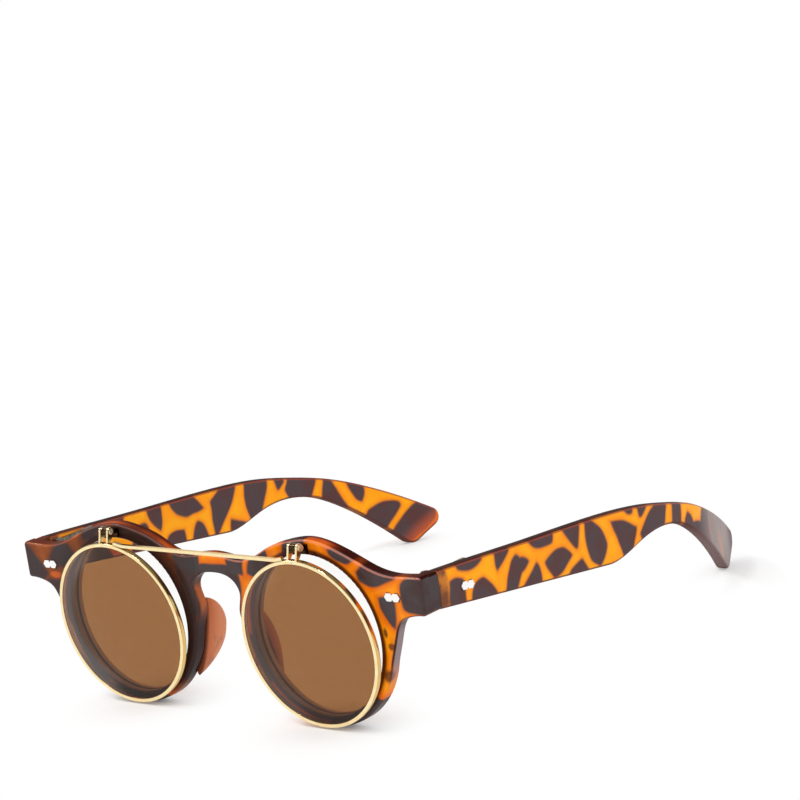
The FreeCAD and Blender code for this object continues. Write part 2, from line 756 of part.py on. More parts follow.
def temple_outline():
    """The temple seen from the side: top edge, rounded tip, and lower edge back to the hinge."""
    start = size("temple_start")
    top = size("temple_top")
    wide = size("wide_at")
    bend = size("bend_at")
    tip = size("tip_at")
    corner = size("tip_corner")
    slope = size("tip_slope")
    along = heading(slope)
    wide_top = top - size("wide_drop")
    bend_top = top - size("bend_drop")
    wide_bottom = wide_top - size("wide_height")
    bend_bottom = bend_top - size("bend_height")
    upper_centre = (tip + size("tip_face") * along[0], corner + size("tip_face") * along[1])
    tip_round = arc((tip, corner), corner, TIP_LOW_SLOPE - 90, slope - 90)
    end_round = arc(upper_centre, corner, slope - 90, TIP_TOP_SLOPE + 90)
    tip_top = tuple(end_round.EndPoint)[:2]
    upper = [
        (start, top),
        (start + TOP_TO_WIDE[0] * (wide - start), top + TOP_TO_WIDE[1] * (wide_top - top)),
        (wide, wide_top),
        (wide + TOP_TO_BEND[0] * (bend - wide), wide_top + TOP_TO_BEND[1] * (bend_top - wide_top)),
        (bend, bend_top),
    ]
    upper += [(bend + run * (tip_top[0] - bend), bend_top + fall * (tip_top[1] - bend_top))
              for run, fall in TOP_TO_TIP]
    upper += [tip_top]
    low = tuple(tip_round.StartPoint)[:2]
    lower = [low]
    lower += [(bend + run * (low[0] - bend), low[1] + climb * (bend_bottom - low[1]))
              for run, climb in LOW_TO_BEND]
    lower += [(bend + run * (wide - bend), bend_bottom + fall * (wide_bottom - bend_bottom))
              for run, fall in LOW_TO_WIDE]
    lower += [(wide, wide_bottom)]
    joint_low = (start, top - size("temple_height"))
    rise = math.degrees(math.atan2(joint_low[1] - wide_bottom, start - wide))
    return [
        spline(list(reversed(upper)), heading(TIP_TOP_SLOPE + 180), heading(TOP_EDGE_SLOPE + 180)),
        line((start, top), joint_low),
        line(joint_low, (wide, wide_bottom)),
        spline(list(reversed(lower)), heading(rise + 180), heading(TIP_LOW_SLOPE)),
        tip_round,
        Part.LineSegment(tip_round.EndPoint, end_round.StartPoint),
        end_round,
    ]


def temple_plan(offset):
    """Plan of a temple's face, this far inside the outer one: straight, then swept in behind the ear."""
    face = size("half_width") - offset
    straight = size("temple_straight")
    sweep = size("temple_sweep")
    past_tip = size("tip_end") + size("tip_corner")
    turn = math.degrees(math.asin((past_tip - straight) / (sweep - offset)))
    begin = size("temple_start") - size("tip_corner")
    bow = arc((face - (sweep - offset), straight), sweep - offset, 0, turn)
    return line((face, begin), (face, straight)), bow


def plan_x(y, offset):
    """Where the temple's face lies at this distance behind the front."""
    face = size("half_width") - offset
    sweep = size("temple_sweep") - offset
    past = max(y - size("temple_straight"), 0.0)
    return face - sweep + math.sqrt(sweep ** 2 - past ** 2)


def temple():
    body = new_body("temple")
    pad(body, sketch_on(body, "YZ_Plane", "temple_outline", temple_outline()), "[half_width]")
    thick = size("temple_thickness")
    faces = (("temple_outside", 0.0, 2 * size("half_width")), ("temple_inside_face", thick, -thick))
    for name, offset, far in faces:
        run, bow = temple_plan(offset)
        waste = [run, bow, line(tuple(bow.EndPoint)[:2], (far, bow.EndPoint.y)),
                 line((far, bow.EndPoint.y), (far, run.StartPoint.y)),
                 line((far, run.StartPoint.y), tuple(run.StartPoint)[:2])]
        pocket(body, sketch_on(body, "XY_Plane", name, waste), both_ways=True)

    def is_long_edge(edge):
        points = edge.discretize(5)
        rise = abs(points[0].z - points[-1].z)
        level = abs(points[0].y - points[-1].y) < 1e-4
        at_joint = lies_at(edge, "y", size("temple_start"))
        on_face = any(all(abs(p.x - plan_x(p.y, offset)) < 1e-3 for p in points) for offset in (0.0, thick))
        return on_face and not at_joint and not (level and rise > 1e-3)

    round_edges(body, "[temple_round]", is_long_edge)
    outline = shifted(hexagon_pair(size("shank_play")), size("temple_stud_at"), size("temple_stud_z"),
                      -size("temple_stud_slope"))
    recess = sketch_on(body, "YZ_Plane", "temple_stud_recess", polygon(outline), "[half_width]")
    pocket(body, recess, "[stud_recess]")
    along = "cos([temple_stud_slope]) * [shank_spacing] / 2"
    down = "sin([temple_stud_slope]) * [shank_spacing] / 2"
    holes = [(f"[temple_stud_at] + {step} * {along}", f"[temple_stud_z] - {step} * {down}", "[shank_bore]")
             for step in SIDES]
    pocket(body, circles_on(body, "YZ_Plane", "temple_stud_holes", holes), both_ways=True)
    place(body, y="[front_y]")
    return node(body, "left_temple")


# Temple hinges
def hinge_bore(name):
    return rod(name, "z", ("[hinge_x]", "[hinge_y]", "[hinge_z] - [hinge_height]"), "[screw_bore]",
               "2 * [hinge_height]")


def front_hinge_leaf():
    """A plate behind the end piece with an upper and a lower knuckle that reach back to the hinge axis."""
    back = "[front_y] + [front_thickness]"
    low = "[hinge_z] - [hinge_height] / 2"
    high = "[hinge_z] + [hinge_height] / 2 - [knuckle_height]"
    solids = [box("front_leaf_plate", ("[hinge_x] - [front_leaf_length]", back, low),
                  ("[front_leaf_length] + [barrel_radius]", "[leaf_thickness]", "[hinge_height]"))]
    for name, base in (("lower", low), ("upper", high)):
        solids.append(box(f"front_leaf_{name}_arm", ("[hinge_x] - [barrel_radius]", back, base),
                          ("2 * [barrel_radius]", "[hinge_back] - [front_thickness]", "[knuckle_height]")))
        solids.append(rod(f"front_leaf_{name}_barrel", "z", ("[hinge_x]", "[hinge_y]", base),
                          "[barrel_radius]", "[knuckle_height]"))
    holes = [rod(f"front_leaf_hole_{n}", "y",
                 (f"[stud_x] + {step} * [shank_spacing] / 2", "[front_y]", "[stud_z]"),
                 "[shank_bore]", "3 * [front_thickness]") for n, step in enumerate(SIDES)]
    tools = fuse("front_leaf_holes", holes + [hinge_bore("front_leaf_bore")])
    return node(cut("front_hinge_leaf", fuse("front_leaf_solid", solids), tools), "left_front_hinge_leaf")


def temple_hinge_leaf():
    """A plate inside the temple with the middle knuckle."""
    base = "[hinge_z] - [knuckle_height] / 2"
    plate_start = "[hinge_y] + [barrel_radius] + 2 * [barrel_play]"
    plate = box("temple_leaf_plate", ("[temple_inside] - [leaf_thickness]", plate_start,
                                      "[hinge_z] - [hinge_height] / 2"),
                ("[leaf_thickness]", "[temple_leaf_length]", "[hinge_height]"))
    arm = box("temple_leaf_arm", ("[hinge_x]", "[hinge_y]", base),
              ("[hinge_inset]", "[barrel_radius] + 4 * [barrel_play]", "[knuckle_height]"))
    barrel = rod("temple_leaf_barrel", "z", ("[hinge_x]", "[hinge_y]", base), "[barrel_radius]",
                 "[knuckle_height]")
    along = "cos([temple_stud_slope]) * [shank_spacing] / 2"
    down = "sin([temple_stud_slope]) * [shank_spacing] / 2"
    holes = [rod(f"temple_leaf_hole_{n}", "x",
                 ("[hinge_x]", f"[front_y] + [temple_stud_at] + {step} * {along}",
                  f"[temple_stud_z] - {step} * {down}"),
                 "[shank_bore]", "2 * [hinge_inset]") for n, step in enumerate(SIDES)]
    tools = fuse("temple_leaf_holes", holes + [hinge_bore("temple_leaf_bore")])
    return node(cut("temple_hinge_leaf", fuse("temple_leaf_solid", [plate, arm, barrel]), tools),
                "left_temple_hinge_leaf")


def hinge_screw():
    shaft = rod("hinge_screw_shaft", "z", ("[hinge_x]", "[hinge_y]", "[hinge_z] - [hinge_height] / 2"),
                "[screw_radius]", "[hinge_height]")
    head = rod("hinge_screw_head", "z", ("[hinge_x]", "[hinge_y]", "[hinge_z] + [hinge_height] / 2"),
               "[screw_head_radius]", "[screw_head_height]")
    return node(fuse("hinge_screw", [shaft, head]), "left_hinge_screw")


front_frame()
MAKERS = (clear_lens, nose_pad, front_stud, front_hinge_leaf, hinge_screw, flip_bracket, eyewire, tinted_lens,
          flip_pin, temple, temple_stud, temple_hinge_leaf)
for make in MAKERS:
    piece = make()
    mirrored(piece, piece.Label.replace("left_", "right_"))
for ear_name, ear_side in (("outer", 1), ("inner", -1)):
    ear = node(flip_ear(f"flip_ear_{ear_name}", ear_side), f"left_{ear_name}_flip_ear")
    mirrored(ear, f"right_{ear_name}_flip_ear")
flip_bar()
doc.recompute()

# Every object is sound before anything is written
for item in doc.Objects:
    assert "Invalid" not in item.State and "Error" not in item.State, f"{item.Label}: {item.State}"
for item in NODES:
    assert not item.Shape.isNull() and item.Shape.isValid(), item.Label
    assert len(item.Shape.Solids) == 1, f"{item.Label} has {len(item.Shape.Solids)} solids"

os.makedirs("parts", exist_ok=True)
for item in NODES:
    item.Shape.exportStep(f"parts/{item.Label}.step")
    extent = item.Shape.BoundBox
    print(f"{item.Label}: {item.Shape.Volume:.1f} mm3, X {extent.XMin:.2f} to {extent.XMax:.2f}, "
          f"Y {extent.YMin:.2f} to {extent.YMax:.2f}, Z {extent.ZMin:.2f} to {extent.ZMax:.2f}")
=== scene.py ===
import math

import bpy
from mathutils import Matrix, Vector


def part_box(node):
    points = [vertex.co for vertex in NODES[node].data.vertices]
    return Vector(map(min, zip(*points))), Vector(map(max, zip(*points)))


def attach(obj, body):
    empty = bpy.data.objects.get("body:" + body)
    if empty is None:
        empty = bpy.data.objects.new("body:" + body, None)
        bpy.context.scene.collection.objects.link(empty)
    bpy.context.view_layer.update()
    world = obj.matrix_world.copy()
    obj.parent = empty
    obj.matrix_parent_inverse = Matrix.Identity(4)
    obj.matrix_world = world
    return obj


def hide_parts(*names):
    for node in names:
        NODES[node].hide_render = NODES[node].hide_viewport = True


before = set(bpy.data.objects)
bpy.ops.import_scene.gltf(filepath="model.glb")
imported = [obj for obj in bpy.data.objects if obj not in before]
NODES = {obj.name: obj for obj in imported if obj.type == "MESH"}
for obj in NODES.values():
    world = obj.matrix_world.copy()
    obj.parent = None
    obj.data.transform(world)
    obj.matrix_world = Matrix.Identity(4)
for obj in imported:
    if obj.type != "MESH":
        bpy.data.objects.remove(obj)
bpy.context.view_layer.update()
MM = 0.001
SIDES = {"left": 1, "right": -1}

# Sizes and places of the pieces, in millimetres and degrees, with places given for the left side
FRONT_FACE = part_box("front_frame")[0].y / MM
FRONT_THICKNESS = 3.8
FRONT_BACK = FRONT_FACE + FRONT_THICKNESS
EYE = (33.8, 24.2)
TIP_FOOT = (69.0, FRONT_FACE + 141.5)
RING = {"radius": 22.5, "wall": 1.1, "depth": 1.6, "edge": 0.3, "slit": 0.1, "hang": 3.5}
STUD = {"radius": 1.56, "face": 1.42, "spread": 1.09, "squash": 0.84, "proud": 0.3, "sunk": 0.5,
        "shank": 0.6, "shank_spread": 1.35, "depth": 4.2}
TEMPLE_STUD = dict(STUD, depth=4.0)
FRONT_STUD_PLACE = (61.3, FRONT_FACE, 36.4)
TEMPLE_STUD_PLACE = (71.0, FRONT_FACE + 17.0, 35.0)
TEMPLE_STUD_SLOPE = 9.0
PIN = {"radius": 0.55, "length": 3.4, "head": 0.95, "head_face": 0.84, "head_length": 0.45, "slot": 0.26,
       "button": 0.8, "button_length": 0.28}
PIN_PLACE = (32.1, FRONT_FACE - 2.9, 48.2)
PIN_SLOT = (0, 0.6, 0.8)
SCREW = {"radius": 0.7, "length": 6.6, "head": 1.25, "head_face": 1.1, "head_length": 0.5, "slot": 0.34,
         "button": 0.6, "button_length": 0.05}
SCREW_PLACE = (65.7, FRONT_FACE + 8.2, 33.7)
SCREW_SLOT = (0.8, 0.6, 0)
SLOT_OVERRUN = 3.0
BUTTON_TAPER = 0.7

# Steps of round shapes, and the angles in degrees above which an edge stays sharp
RING_STEPS = 181
RING_EDGE_STEPS = 5
HEXAGON = 6
SHANK_SIDES = 24
PIN_SIDES = 32
HEAD_SIDES = 40
RING_CREASE = 40
FASTENER_CREASE = 25


def srgb(red, green, blue):
    """A colour as seen on screen, turned into the light values that a shader takes."""
    def light(level):
        share = level / 255
        return share / 12.92 if share <= 0.04045 else ((share + 0.055) / 1.055) ** 2.4
    return (light(red), light(green), light(blue), 1.0)


class Wire:
    """An output of a node tree. Arithmetic on it adds Math nodes to that tree."""

    def __init__(self, tree, socket=None):
        self.tree = tree
        self.socket = socket

    def add(self, kind, settings=None, values=None, outlet=0):
        """Adds a node: first its settings, then a value or another wire for each named or numbered socket."""
        node = self.tree.nodes.new(kind)
        for name, value in (settings or {}).items():
            setattr(node, name, value)
        for name, value in (values or {}).items():
            if isinstance(value, Wire):
                self.tree.links.new(value.socket, node.inputs[name])
            else:
                node.inputs[name].default_value = value
        return Wire(self.tree, node.outputs[outlet] if node.outputs else None)

    def math(self, operation, *terms):
        return self.add("ShaderNodeMath", {"operation": operation}, dict(enumerate(terms)))

    def __add__(self, other):
        return self.math("ADD", self, other)

    def __radd__(self, other):
        return self.math("ADD", other, self)

    def __sub__(self, other):
        return self.math("SUBTRACT", self, other)

    def __rsub__(self, other):
        return self.math("SUBTRACT", other, self)

    def __mul__(self, other):
        return self.math("MULTIPLY", self, other)

    def __rmul__(self, other):
        return self.math("MULTIPLY", other, self)

    def __truediv__(self, other):
        return self.math("DIVIDE", self, other)

    def __rtruediv__(self, other):
        return self.math("DIVIDE", other, self)

    def __abs__(self):
        return self.math("ABSOLUTE", self)

    def least(self, other):
        return self.math("MINIMUM", self, other)

    def most(self, other):
        return self.math("MAXIMUM", self, other)

    def rise(self, low, high):
        """Climbs smoothly from 0 at low to 1 at high, which may be the lesser value."""
        return self.add("ShaderNodeMapRange", {"interpolation_type": "SMOOTHSTEP"},
                        {"Value": self, "From Min": low, "From Max": high})

    def blend(self, base, other):
        """Goes from the base colour to the other one as this value goes from 0 to 1."""
        return self.add("ShaderNodeMix", {"data_type": "RGBA"}, {0: self, 6: base, 7: other}, 2)

    def vector(self, operation, *terms, outlet=0):
        return self.add("ShaderNodeVectorMath", {"operation": operation}, dict(enumerate(terms)), outlet)

    def length(self):
        return self.vector("LENGTH", self, outlet=1)

    def times(self, factor):
        return self.add("ShaderNodeVectorMath", {"operation": "SCALE"}, {"Vector": self, "Scale": factor})

    def part(self, axis):
        return self.add("ShaderNodeSeparateXYZ", values={0: self}, outlet="XYZ".index(axis))

    def noise(self, scale, detail, outlet=0):
        return self.add("ShaderNodeTexNoise", values={"Vector": self, "Scale": scale, "Detail": detail},
                        outlet=outlet)

    def cloud(self, scale, detail, low, high):
        """Soft clouds that build up between two levels of a noise."""
        return self.noise(scale, detail).rise(low, high)


def triple(start, first, second, third=0.0):
    """A vector from three wires or numbers."""
    return start.add("ShaderNodeCombineXYZ", values={0: first, 1: second, 2: third})


def new_finish(name):
    """An empty material, a wire to build its nodes from, and its object coordinates in millimetres."""
    material = bpy.data.materials.new(name)
    material.use_nodes = True
    tree = material.node_tree
    tree.nodes.clear()
    start = Wire(tree)
    place = start.add("ShaderNodeTexCoord", outlet="Object").times(1 / MM)
    return material, start, place


def facing(start):
    """The direction that the surface faces, in the piece's own axes."""
    return start.add("ShaderNodeTexCoord", outlet="Normal")


def from_eye(start, place):
    """The distance from the middle of the nearer lens opening, seen from the front."""
    return triple(start, abs(place.part("X")) - EYE[0], place.part("Z") - EYE[1]).length()


def show(start, shader):
    start.add("ShaderNodeOutputMaterial", values={"Surface": shader})


def bumped(start, height, depth, strength):
    return start.add("ShaderNodeBump", values={
        "Height": height, "Distance": depth * MM, "Strength": strength})


def where(at, region):
    """How far a region's tone covers a point: its strength once each measure has gone through its span."""
    amount, *spans = region
    for measure, begins, full in spans:
        amount = at[measure].rise(begins, full) * amount
    return amount


# Tortoise acetate
# Dark patches of the pattern, as corners in millimetres: across or back from the front's face, and up
FRONT_PATCHES = (
    ((5.2, 45.5), (5.4, 42.0), (6.0, 38.6), (11.2, 38.0), (11.9, 42.6), (12.2, 45.5)),
    ((6.0, 39.4), (5.0, 32.0), (5.0, 26.0), (7.8, 26.0), (9.4, 34.6), (9.6, 39.4)),
    ((12.6, 38.5), (14.0, 43.6), (15.0, 46.2), (20.1, 46.8), (21.0, 44.8), (21.0, 42.0), (17.5, 37.0)),
    ((27.5, 51.0), (26.3, 45.0), (26.0, 41.0), (32.0, 41.0), (34.4, 46.6), (33.4, 51.0)),
    ((34.8, 44.6), (37.6, 46.4), (39.4, 44.6), (39.4, 42.0), (35.0, 42.0)),
    ((41.6, 47.4), (43.0, 47.7), (47.0, 46.9), (50.0, 45.3), (49.2, 44.4), (47.6, 43.7), (44.6, 44.4),
     (42.4, 45.8)),
    ((52.6, 44.2), (57.3, 43.6), (61.4, 42.6), (62.7, 41.3), (60.2, 40.0), (56.4, 38.5), (53.4, 38.7),
     (51.0, 39.8), (50.3, 42.0)),
    ((63.9, 39.6), (64.8, 40.7), (66.5, 41.8), (76.0, 42.4), (76.0, 32.4), (65.5, 32.5), (64.3, 33.3),
     (63.8, 36.2)),
    ((56.5, 35.8), (58.5, 36.3), (61.6, 35.6), (62.0, 33.8), (61.8, 31.0), (60.9, 28.2), (59.7, 29.0),
     (58.0, 31.0), (56.6, 32.9)),
    ((53.8, 8.2), (50.4, 10.2), (46.0, 8.6), (36.0, 3.0), (31.0, -3.0), (55.0, -3.0)),
    ((12.0, 22.0), (7.0, 24.0), (8.0, 15.0), (13.0, 9.0), (15.4, 10.0)),
    ((18.0, 5.0), (22.0, 1.8), (26.0, -3.0), (14.0, -3.0), (15.0, 5.0)),
    ((-6.0, 40.4), (7.0, 40.8), (7.0, 36.0), (-6.0, 36.0)),
    ((-4.0, 45.5), (-4.2, 39.2), (-6.5, 37.0), (-12.8, 37.0), (-14.0, 45.5)),
    ((-6.0, 38.4), (-5.0, 26.0), (-12.0, 26.0), (-12.6, 38.4)),
    ((-9.0, 27.0), (-12.8, 27.0), (-16.8, 8.8), (-13.8, 7.0), (-8.0, 14.0)),
    ((-18.0, 48.0), (-16.0, 43.0), (-24.0, 43.0), (-32.0, 47.0), (-36.0, 51.0), (-27.0, 51.0)),
    ((-38.0, 50.0), (-42.0, 45.4), (-46.5, 44.2), (-47.0, 46.6), (-43.0, 49.0)),
    ((-53.0, 42.6), (-51.4, 40.0), (-55.0, 36.0), (-60.4, 35.4), (-61.8, 38.0), (-58.0, 42.4)),
    ((-76.0, 43.0), (-76.0, 30.0), (-66.0, 31.0), (-63.0, 33.4), (-68.4, 40.6), (-71.0, 42.0)),
    ((-64.0, 32.0), (-58.4, 31.4), (-55.8, 26.0), (-58.0, 16.0), (-64.0, 20.0)),
    ((-60.0, 17.0), (-50.0, 17.0), (-34.0, 4.0), (-32.0, -3.0), (-60.0, -3.0)),
    ((-30.0, 1.4), (-22.0, 3.6), (-18.0, -3.0), (-33.0, -3.0)),
)
LEFT_TEMPLE_PATCHES = (
    ((14.2, 39.7), (16.5, 38.6), (18.5, 38.2), (21.0, 38.5), (23.8, 39.8), (24.2, 43.0), (13.0, 43.0)),
    ((10.3, 38.0), (12.8, 38.3), (15.9, 37.0), (16.0, 30.0), (9.4, 30.0)),
    ((18.2, 31.0), (19.3, 33.6), (21.0, 34.8), (23.4, 34.9), (25.2, 33.5), (28.0, 29.6), (28.2, 26.0),
     (18.0, 26.0)),
    ((28.5, 43.0), (28.7, 35.4), (29.2, 34.6), (31.4, 35.8), (33.6, 37.4), (34.8, 39.0), (35.2, 43.0)),
    ((30.6, 28.0), (33.8, 33.8), (35.2, 36.0), (36.8, 36.8), (38.4, 35.3), (39.3, 32.4), (36.6, 28.6),
     (33.8, 25.0), (31.0, 25.0)),
    ((37.8, 35.6), (40.8, 34.7), (41.6, 33.8), (39.2, 31.6), (37.6, 31.4)),
    ((37.2, 27.0), (40.8, 30.1), (42.7, 31.7), (44.2, 32.4), (45.4, 31.2), (45.8, 29.8), (45.4, 24.0),
     (37.2, 24.0)),
    ((42.0, 42.0), (42.4, 38.3), (44.2, 36.3), (46.0, 35.4), (49.5, 34.8), (51.8, 35.1), (52.7, 37.4),
     (52.8, 42.0)),
    ((47.9, 31.3), (50.4, 32.5), (53.0, 33.2), (56.1, 32.8), (57.9, 31.4), (59.1, 29.7), (57.2, 28.2),
     (53.0, 26.2), (50.6, 26.2), (48.5, 29.0)),
    ((56.0, 41.0), (56.2, 37.4), (57.9, 34.3), (59.8, 32.0), (61.0, 30.7), (61.8, 30.8), (63.0, 34.2),
     (63.7, 37.0), (63.8, 41.0)),
    ((65.9, 38.0), (68.4, 36.5), (71.2, 34.1), (73.3, 31.0), (73.8, 28.3), (72.5, 25.3), (70.0, 23.3),
     (66.4, 26.4), (65.1, 30.5), (65.2, 34.0)),
    ((54.0, 23.0), (57.8, 26.1), (60.5, 27.0), (62.8, 27.5), (65.0, 24.5), (65.6, 22.0)),
    ((76.6, 33.6), (79.0, 33.1), (82.3, 31.8), (87.3, 28.8), (83.4, 21.0), (82.0, 19.0), (81.4, 19.0)),
    ((82.4, 38.0), (82.6, 35.0), (83.5, 33.5), (84.8, 32.8), (86.1, 32.9), (86.9, 34.2), (87.2, 38.0)),
    ((88.2, 37.0), (88.5, 33.5), (88.9, 31.2), (89.9, 30.8), (91.3, 31.6), (93.5, 33.2), (94.4, 37.0)),
    ((88.2, 26.8), (91.8, 29.9), (97.8, 32.8), (103.2, 34.8), (102.7, 31.0), (100.3, 25.8), (96.5, 18.0),
     (91.0, 18.0)),
    ((106.9, 37.0), (104.6, 25.0), (103.4, 18.0), (108.6, 18.0), (109.8, 25.0), (111.8, 37.0)),
    ((110.8, 16.0), (111.8, 23.4), (113.8, 25.1), (115.7, 23.5), (117.2, 20.8), (118.0, 14.0)),
    ((116.0, 21.2), (121.6, 20.2), (124.0, 17.0), (124.0, 6.0), (112.0, 16.0)),
    ((119.6, 14.0), (121.4, 20.0), (124.2, 24.2), (130.0, 32.0), (160.0, 32.0), (160.0, -6.0),
     (119.0, -6.0)),
)
RIGHT_TEMPLE_PATCHES = (
    ((10.3, 38.0), (12.8, 38.3), (15.9, 37.0), (16.0, 30.0), (9.4, 30.0)),
    ((18.2, 31.0), (20.0, 33.6), (25.2, 33.5), (28.0, 29.6), (28.2, 26.0), (18.0, 26.0)),
    ((20.0, 43.0), (35.0, 43.0), (34.8, 39.0), (33.4, 37.4), (26.0, 36.2), (20.0, 37.4)),
    ((38.0, 34.4), (40.4, 35.2), (42.2, 34.9), (43.2, 33.4), (44.0, 28.0), (35.0, 26.0)),
    ((42.5, 42.0), (43.0, 38.5), (43.7, 35.3), (46.0, 32.3), (48.0, 30.8), (48.9, 32.4), (49.3, 36.0),
     (49.1, 42.0)),
    ((52.2, 41.0), (52.5, 38.2), (53.2, 36.0), (55.0, 33.7), (58.7, 31.8), (63.3, 31.8), (65.7, 32.5),
     (64.1, 34.8), (61.6, 38.2), (59.5, 41.0)),
    ((48.6, 26.0), (50.7, 28.6), (53.7, 29.5), (56.9, 28.7), (57.3, 25.7), (57.3, 20.0), (48.6, 20.0)),
    ((59.4, 20.0), (59.9, 25.0), (61.3, 28.4), (62.7, 29.4), (64.7, 28.1), (65.9, 24.7), (66.2, 20.0)),
    ((80.0, 39.8), (73.0, 36.1), (68.7, 33.6), (68.5, 24.0), (69.2, 23.1), (73.7, 26.5), (76.5, 29.2),
     (78.3, 32.0), (79.4, 34.8)),
    ((83.6, 39.0), (82.6, 31.0), (82.6, 28.5), (83.3, 25.0), (84.4, 20.0), (86.0, 20.0), (90.9, 28.0),
     (92.5, 32.0), (93.0, 39.0)),
    ((74.6, 18.0), (75.3, 24.0), (76.0, 26.0), (78.2, 25.1), (81.5, 23.4), (82.4, 18.0)),
    ((95.0, 36.0), (95.4, 31.0), (96.0, 28.9), (96.7, 28.7), (98.8, 30.4), (99.4, 36.0)),
    ((102.4, 36.0), (98.7, 28.0), (99.2, 26.8), (103.6, 18.0), (105.6, 18.0), (108.3, 23.2), (110.8, 28.2),
     (112.2, 36.0)),
    ((113.5, 28.2), (111.8, 21.6), (110.6, 13.0), (119.6, 11.0), (120.4, 16.5), (119.8, 18.9),
     (118.5, 21.7), (116.7, 25.5), (115.3, 28.4)),
    ((120.4, 30.0), (121.1, 23.2), (122.0, 21.2), (123.3, 18.3), (125.1, 17.1), (126.9, 19.4),
     (127.2, 22.0), (127.2, 30.0)),
    ((124.6, 9.6), (126.7, 14.0), (130.0, 15.3), (132.7, 15.6), (137.3, 14.1), (137.6, 12.8), (130.4, 4.6),
     (128.0, 2.0), (124.0, 2.0)),
    ((133.0, 4.6), (137.5, 9.4), (141.0, 12.2), (144.6, 13.0), (148.0, 10.4), (147.6, 6.4), (144.5, 3.4),
     (139.7, 0.9), (136.0, -1.0), (132.0, -1.0)),
)
CORNER_SOFTNESS = 0.9
PATCH_EDGE = (0.55, -0.35)
HALO = {"ends": 0.1, "strength": 0.65}
WANDER = {"scale": 0.12, "detail": 1.0, "reach": 1.6}
NOISE_MIDDLE = (0.5, 0.5, 0.5)

# Noises of the finishes: scale and detail, and for clouds the two levels between which they build up
HONEY_CLOUD = (0.14, 2.0, 0.38, 0.66)
DUSK_CLOUD = (0.17, 3.0, 0.40, 0.68)
JOINT_CLOUD = (0.3, 2.0, 0.36, 0.60)
PAD_CLOUD = (0.9, 3.0, 0.50, 0.76)
SMUDGE_CLOUD = (0.12, 4.0, 0.4, 0.75)
PLATING_CLOUD = (0.6, 3.0, 0.3, 0.7)
TIP_STREAK = (0.7, 2.0)
TIP_STRETCH = (0.4, 0.4, 0.1)
PAD_STRETCH = (0.5, 0.5, 0.16)
KEYHOLE_RAGGED = (0.35, 2.0)
KEYHOLE_RAGGED_REACH = 5.0
WEAR = (3.5, 2.0)
WAVES = (0.4, 2.0)
PAD_POLISH = (0.8, 2.0)
PAPER_GRAIN = (0.02, 2.0)
BRUSH_DETAIL = 2.0


def edges_of(corners):
    """Each side of a convex patch as an outward direction and its offset, for a dot product."""
    middle = sum((Vector(corner) for corner in corners), Vector((0, 0))) / len(corners)
    for first, second in zip(corners, corners[1:] + corners[:1]):
        along = Vector(second) - Vector(first)
        outward = Vector((along.y, -along.x)).normalized()
        if outward.dot(Vector(first) - middle) < 0:
            outward.negate()
        yield (outward.x, outward.y, -outward.dot(Vector(first)))


def outside(start, across, up, patches):
    """How far a point lies outside the nearest dark patch, in millimetres; below 0 inside one."""
    flat = triple(start, across, up, 1.0)
    nearest = None
    for corners in patches:
        reach = None
        for edge in edges_of(corners):
            beyond = flat.vector("DOT_PRODUCT", flat, edge, outlet=1)
            reach = beyond if reach is None else reach.math("SMOOTH_MAX", reach, beyond, CORNER_SOFTNESS)
        nearest = reach if nearest is None else nearest.least(reach)
    return nearest


def wandered(place):
    """The place moved about a little, so that no edge of the pattern is ruled straight."""
    drift = place.noise(WANDER["scale"], WANDER["detail"], outlet=1)
    return place.vector("ADD", place, drift.vector("SUBTRACT", drift, NOISE_MIDDLE).times(WANDER["reach"]))


def amber_and_dark(place, gap, tones):
    """The pattern's colour: amber with a rusty halo round each dark patch, and smoky dark inside."""
    ground = place.cloud(*HONEY_CLOUD).blend(tones["amber"], tones["honey"])
    ground = (gap.rise(tones["halo"], HALO["ends"]) * HALO["strength"]).blend(ground, tones["rust"])
    patch = place.cloud(*DUSK_CLOUD).blend(tones["dark"], tones["dusk"])
    return gap.rise(*PATCH_EDGE).blend(ground, patch)


ACETATE = {"IOR": 1.49, "Specular IOR Level": 0.0, "Coat Roughness": 0.06, "Coat IOR": 1.38}
ACETATE_ROUGH = {"base": 0.4, "waves": 0.1, "wear": 0.05}
ACETATE_COAT = {"base": 0.4, "sawn": 0.34, "wear": 0.06}
ACETATE_BUMP = {"waves": 4.0, "depth": 0.01, "strength": 0.2}


def polished(start, place, colour, sawn):
    """A buffed acetate surface with faint waves and fine wear, less glossy on its flat sawn edges."""
    wear = place.noise(*WEAR)
    waves = place.noise(*WAVES)
    relief = wear + waves * ACETATE_BUMP["waves"]
    shader = start.add("ShaderNodeBsdfPrincipled", values={
        **ACETATE, "Base Color": colour,
        "Roughness": ACETATE_ROUGH["base"] + waves * ACETATE_ROUGH["waves"] + wear * ACETATE_ROUGH["wear"],
        "Coat Weight": ACETATE_COAT["base"] - sawn * ACETATE_COAT["sawn"] + wear * ACETATE_COAT["wear"],
        "Normal": bumped(start, relief, ACETATE_BUMP["depth"], ACETATE_BUMP["strength"])})
    show(start, shader)


# Temples
TEMPLE_TONES = {
    "amber": srgb(255, 168, 8), "honey": srgb(255, 156, 6), "rust": srgb(242, 126, 16),
    "dark": srgb(78, 62, 64), "dusk": srgb(86, 54, 52), "halo": 1.6,
}
# Painted shade along the temples' top edges
TEMPLE_TOP_SHADE = srgb(34, 14, 12)
# A painted highlight on the temples' upper bevel
TEMPLE_BEVEL_HIGHLIGHT = srgb(146, 66, 48)
JOINT_BROWN = srgb(116, 66, 38)
JOINT_GOLD = srgb(190, 114, 40)
TIP_RUST = srgb(206, 92, 46)
# A painted sheen on the near tip's side
TIP_PAINTED_SHEEN = srgb(178, 164, 160)
TIP_AMBER = srgb(210, 132, 70)
# A greyish painted sheen under the near tip
TIP_UNDER_SHEEN = srgb(136, 118, 116)

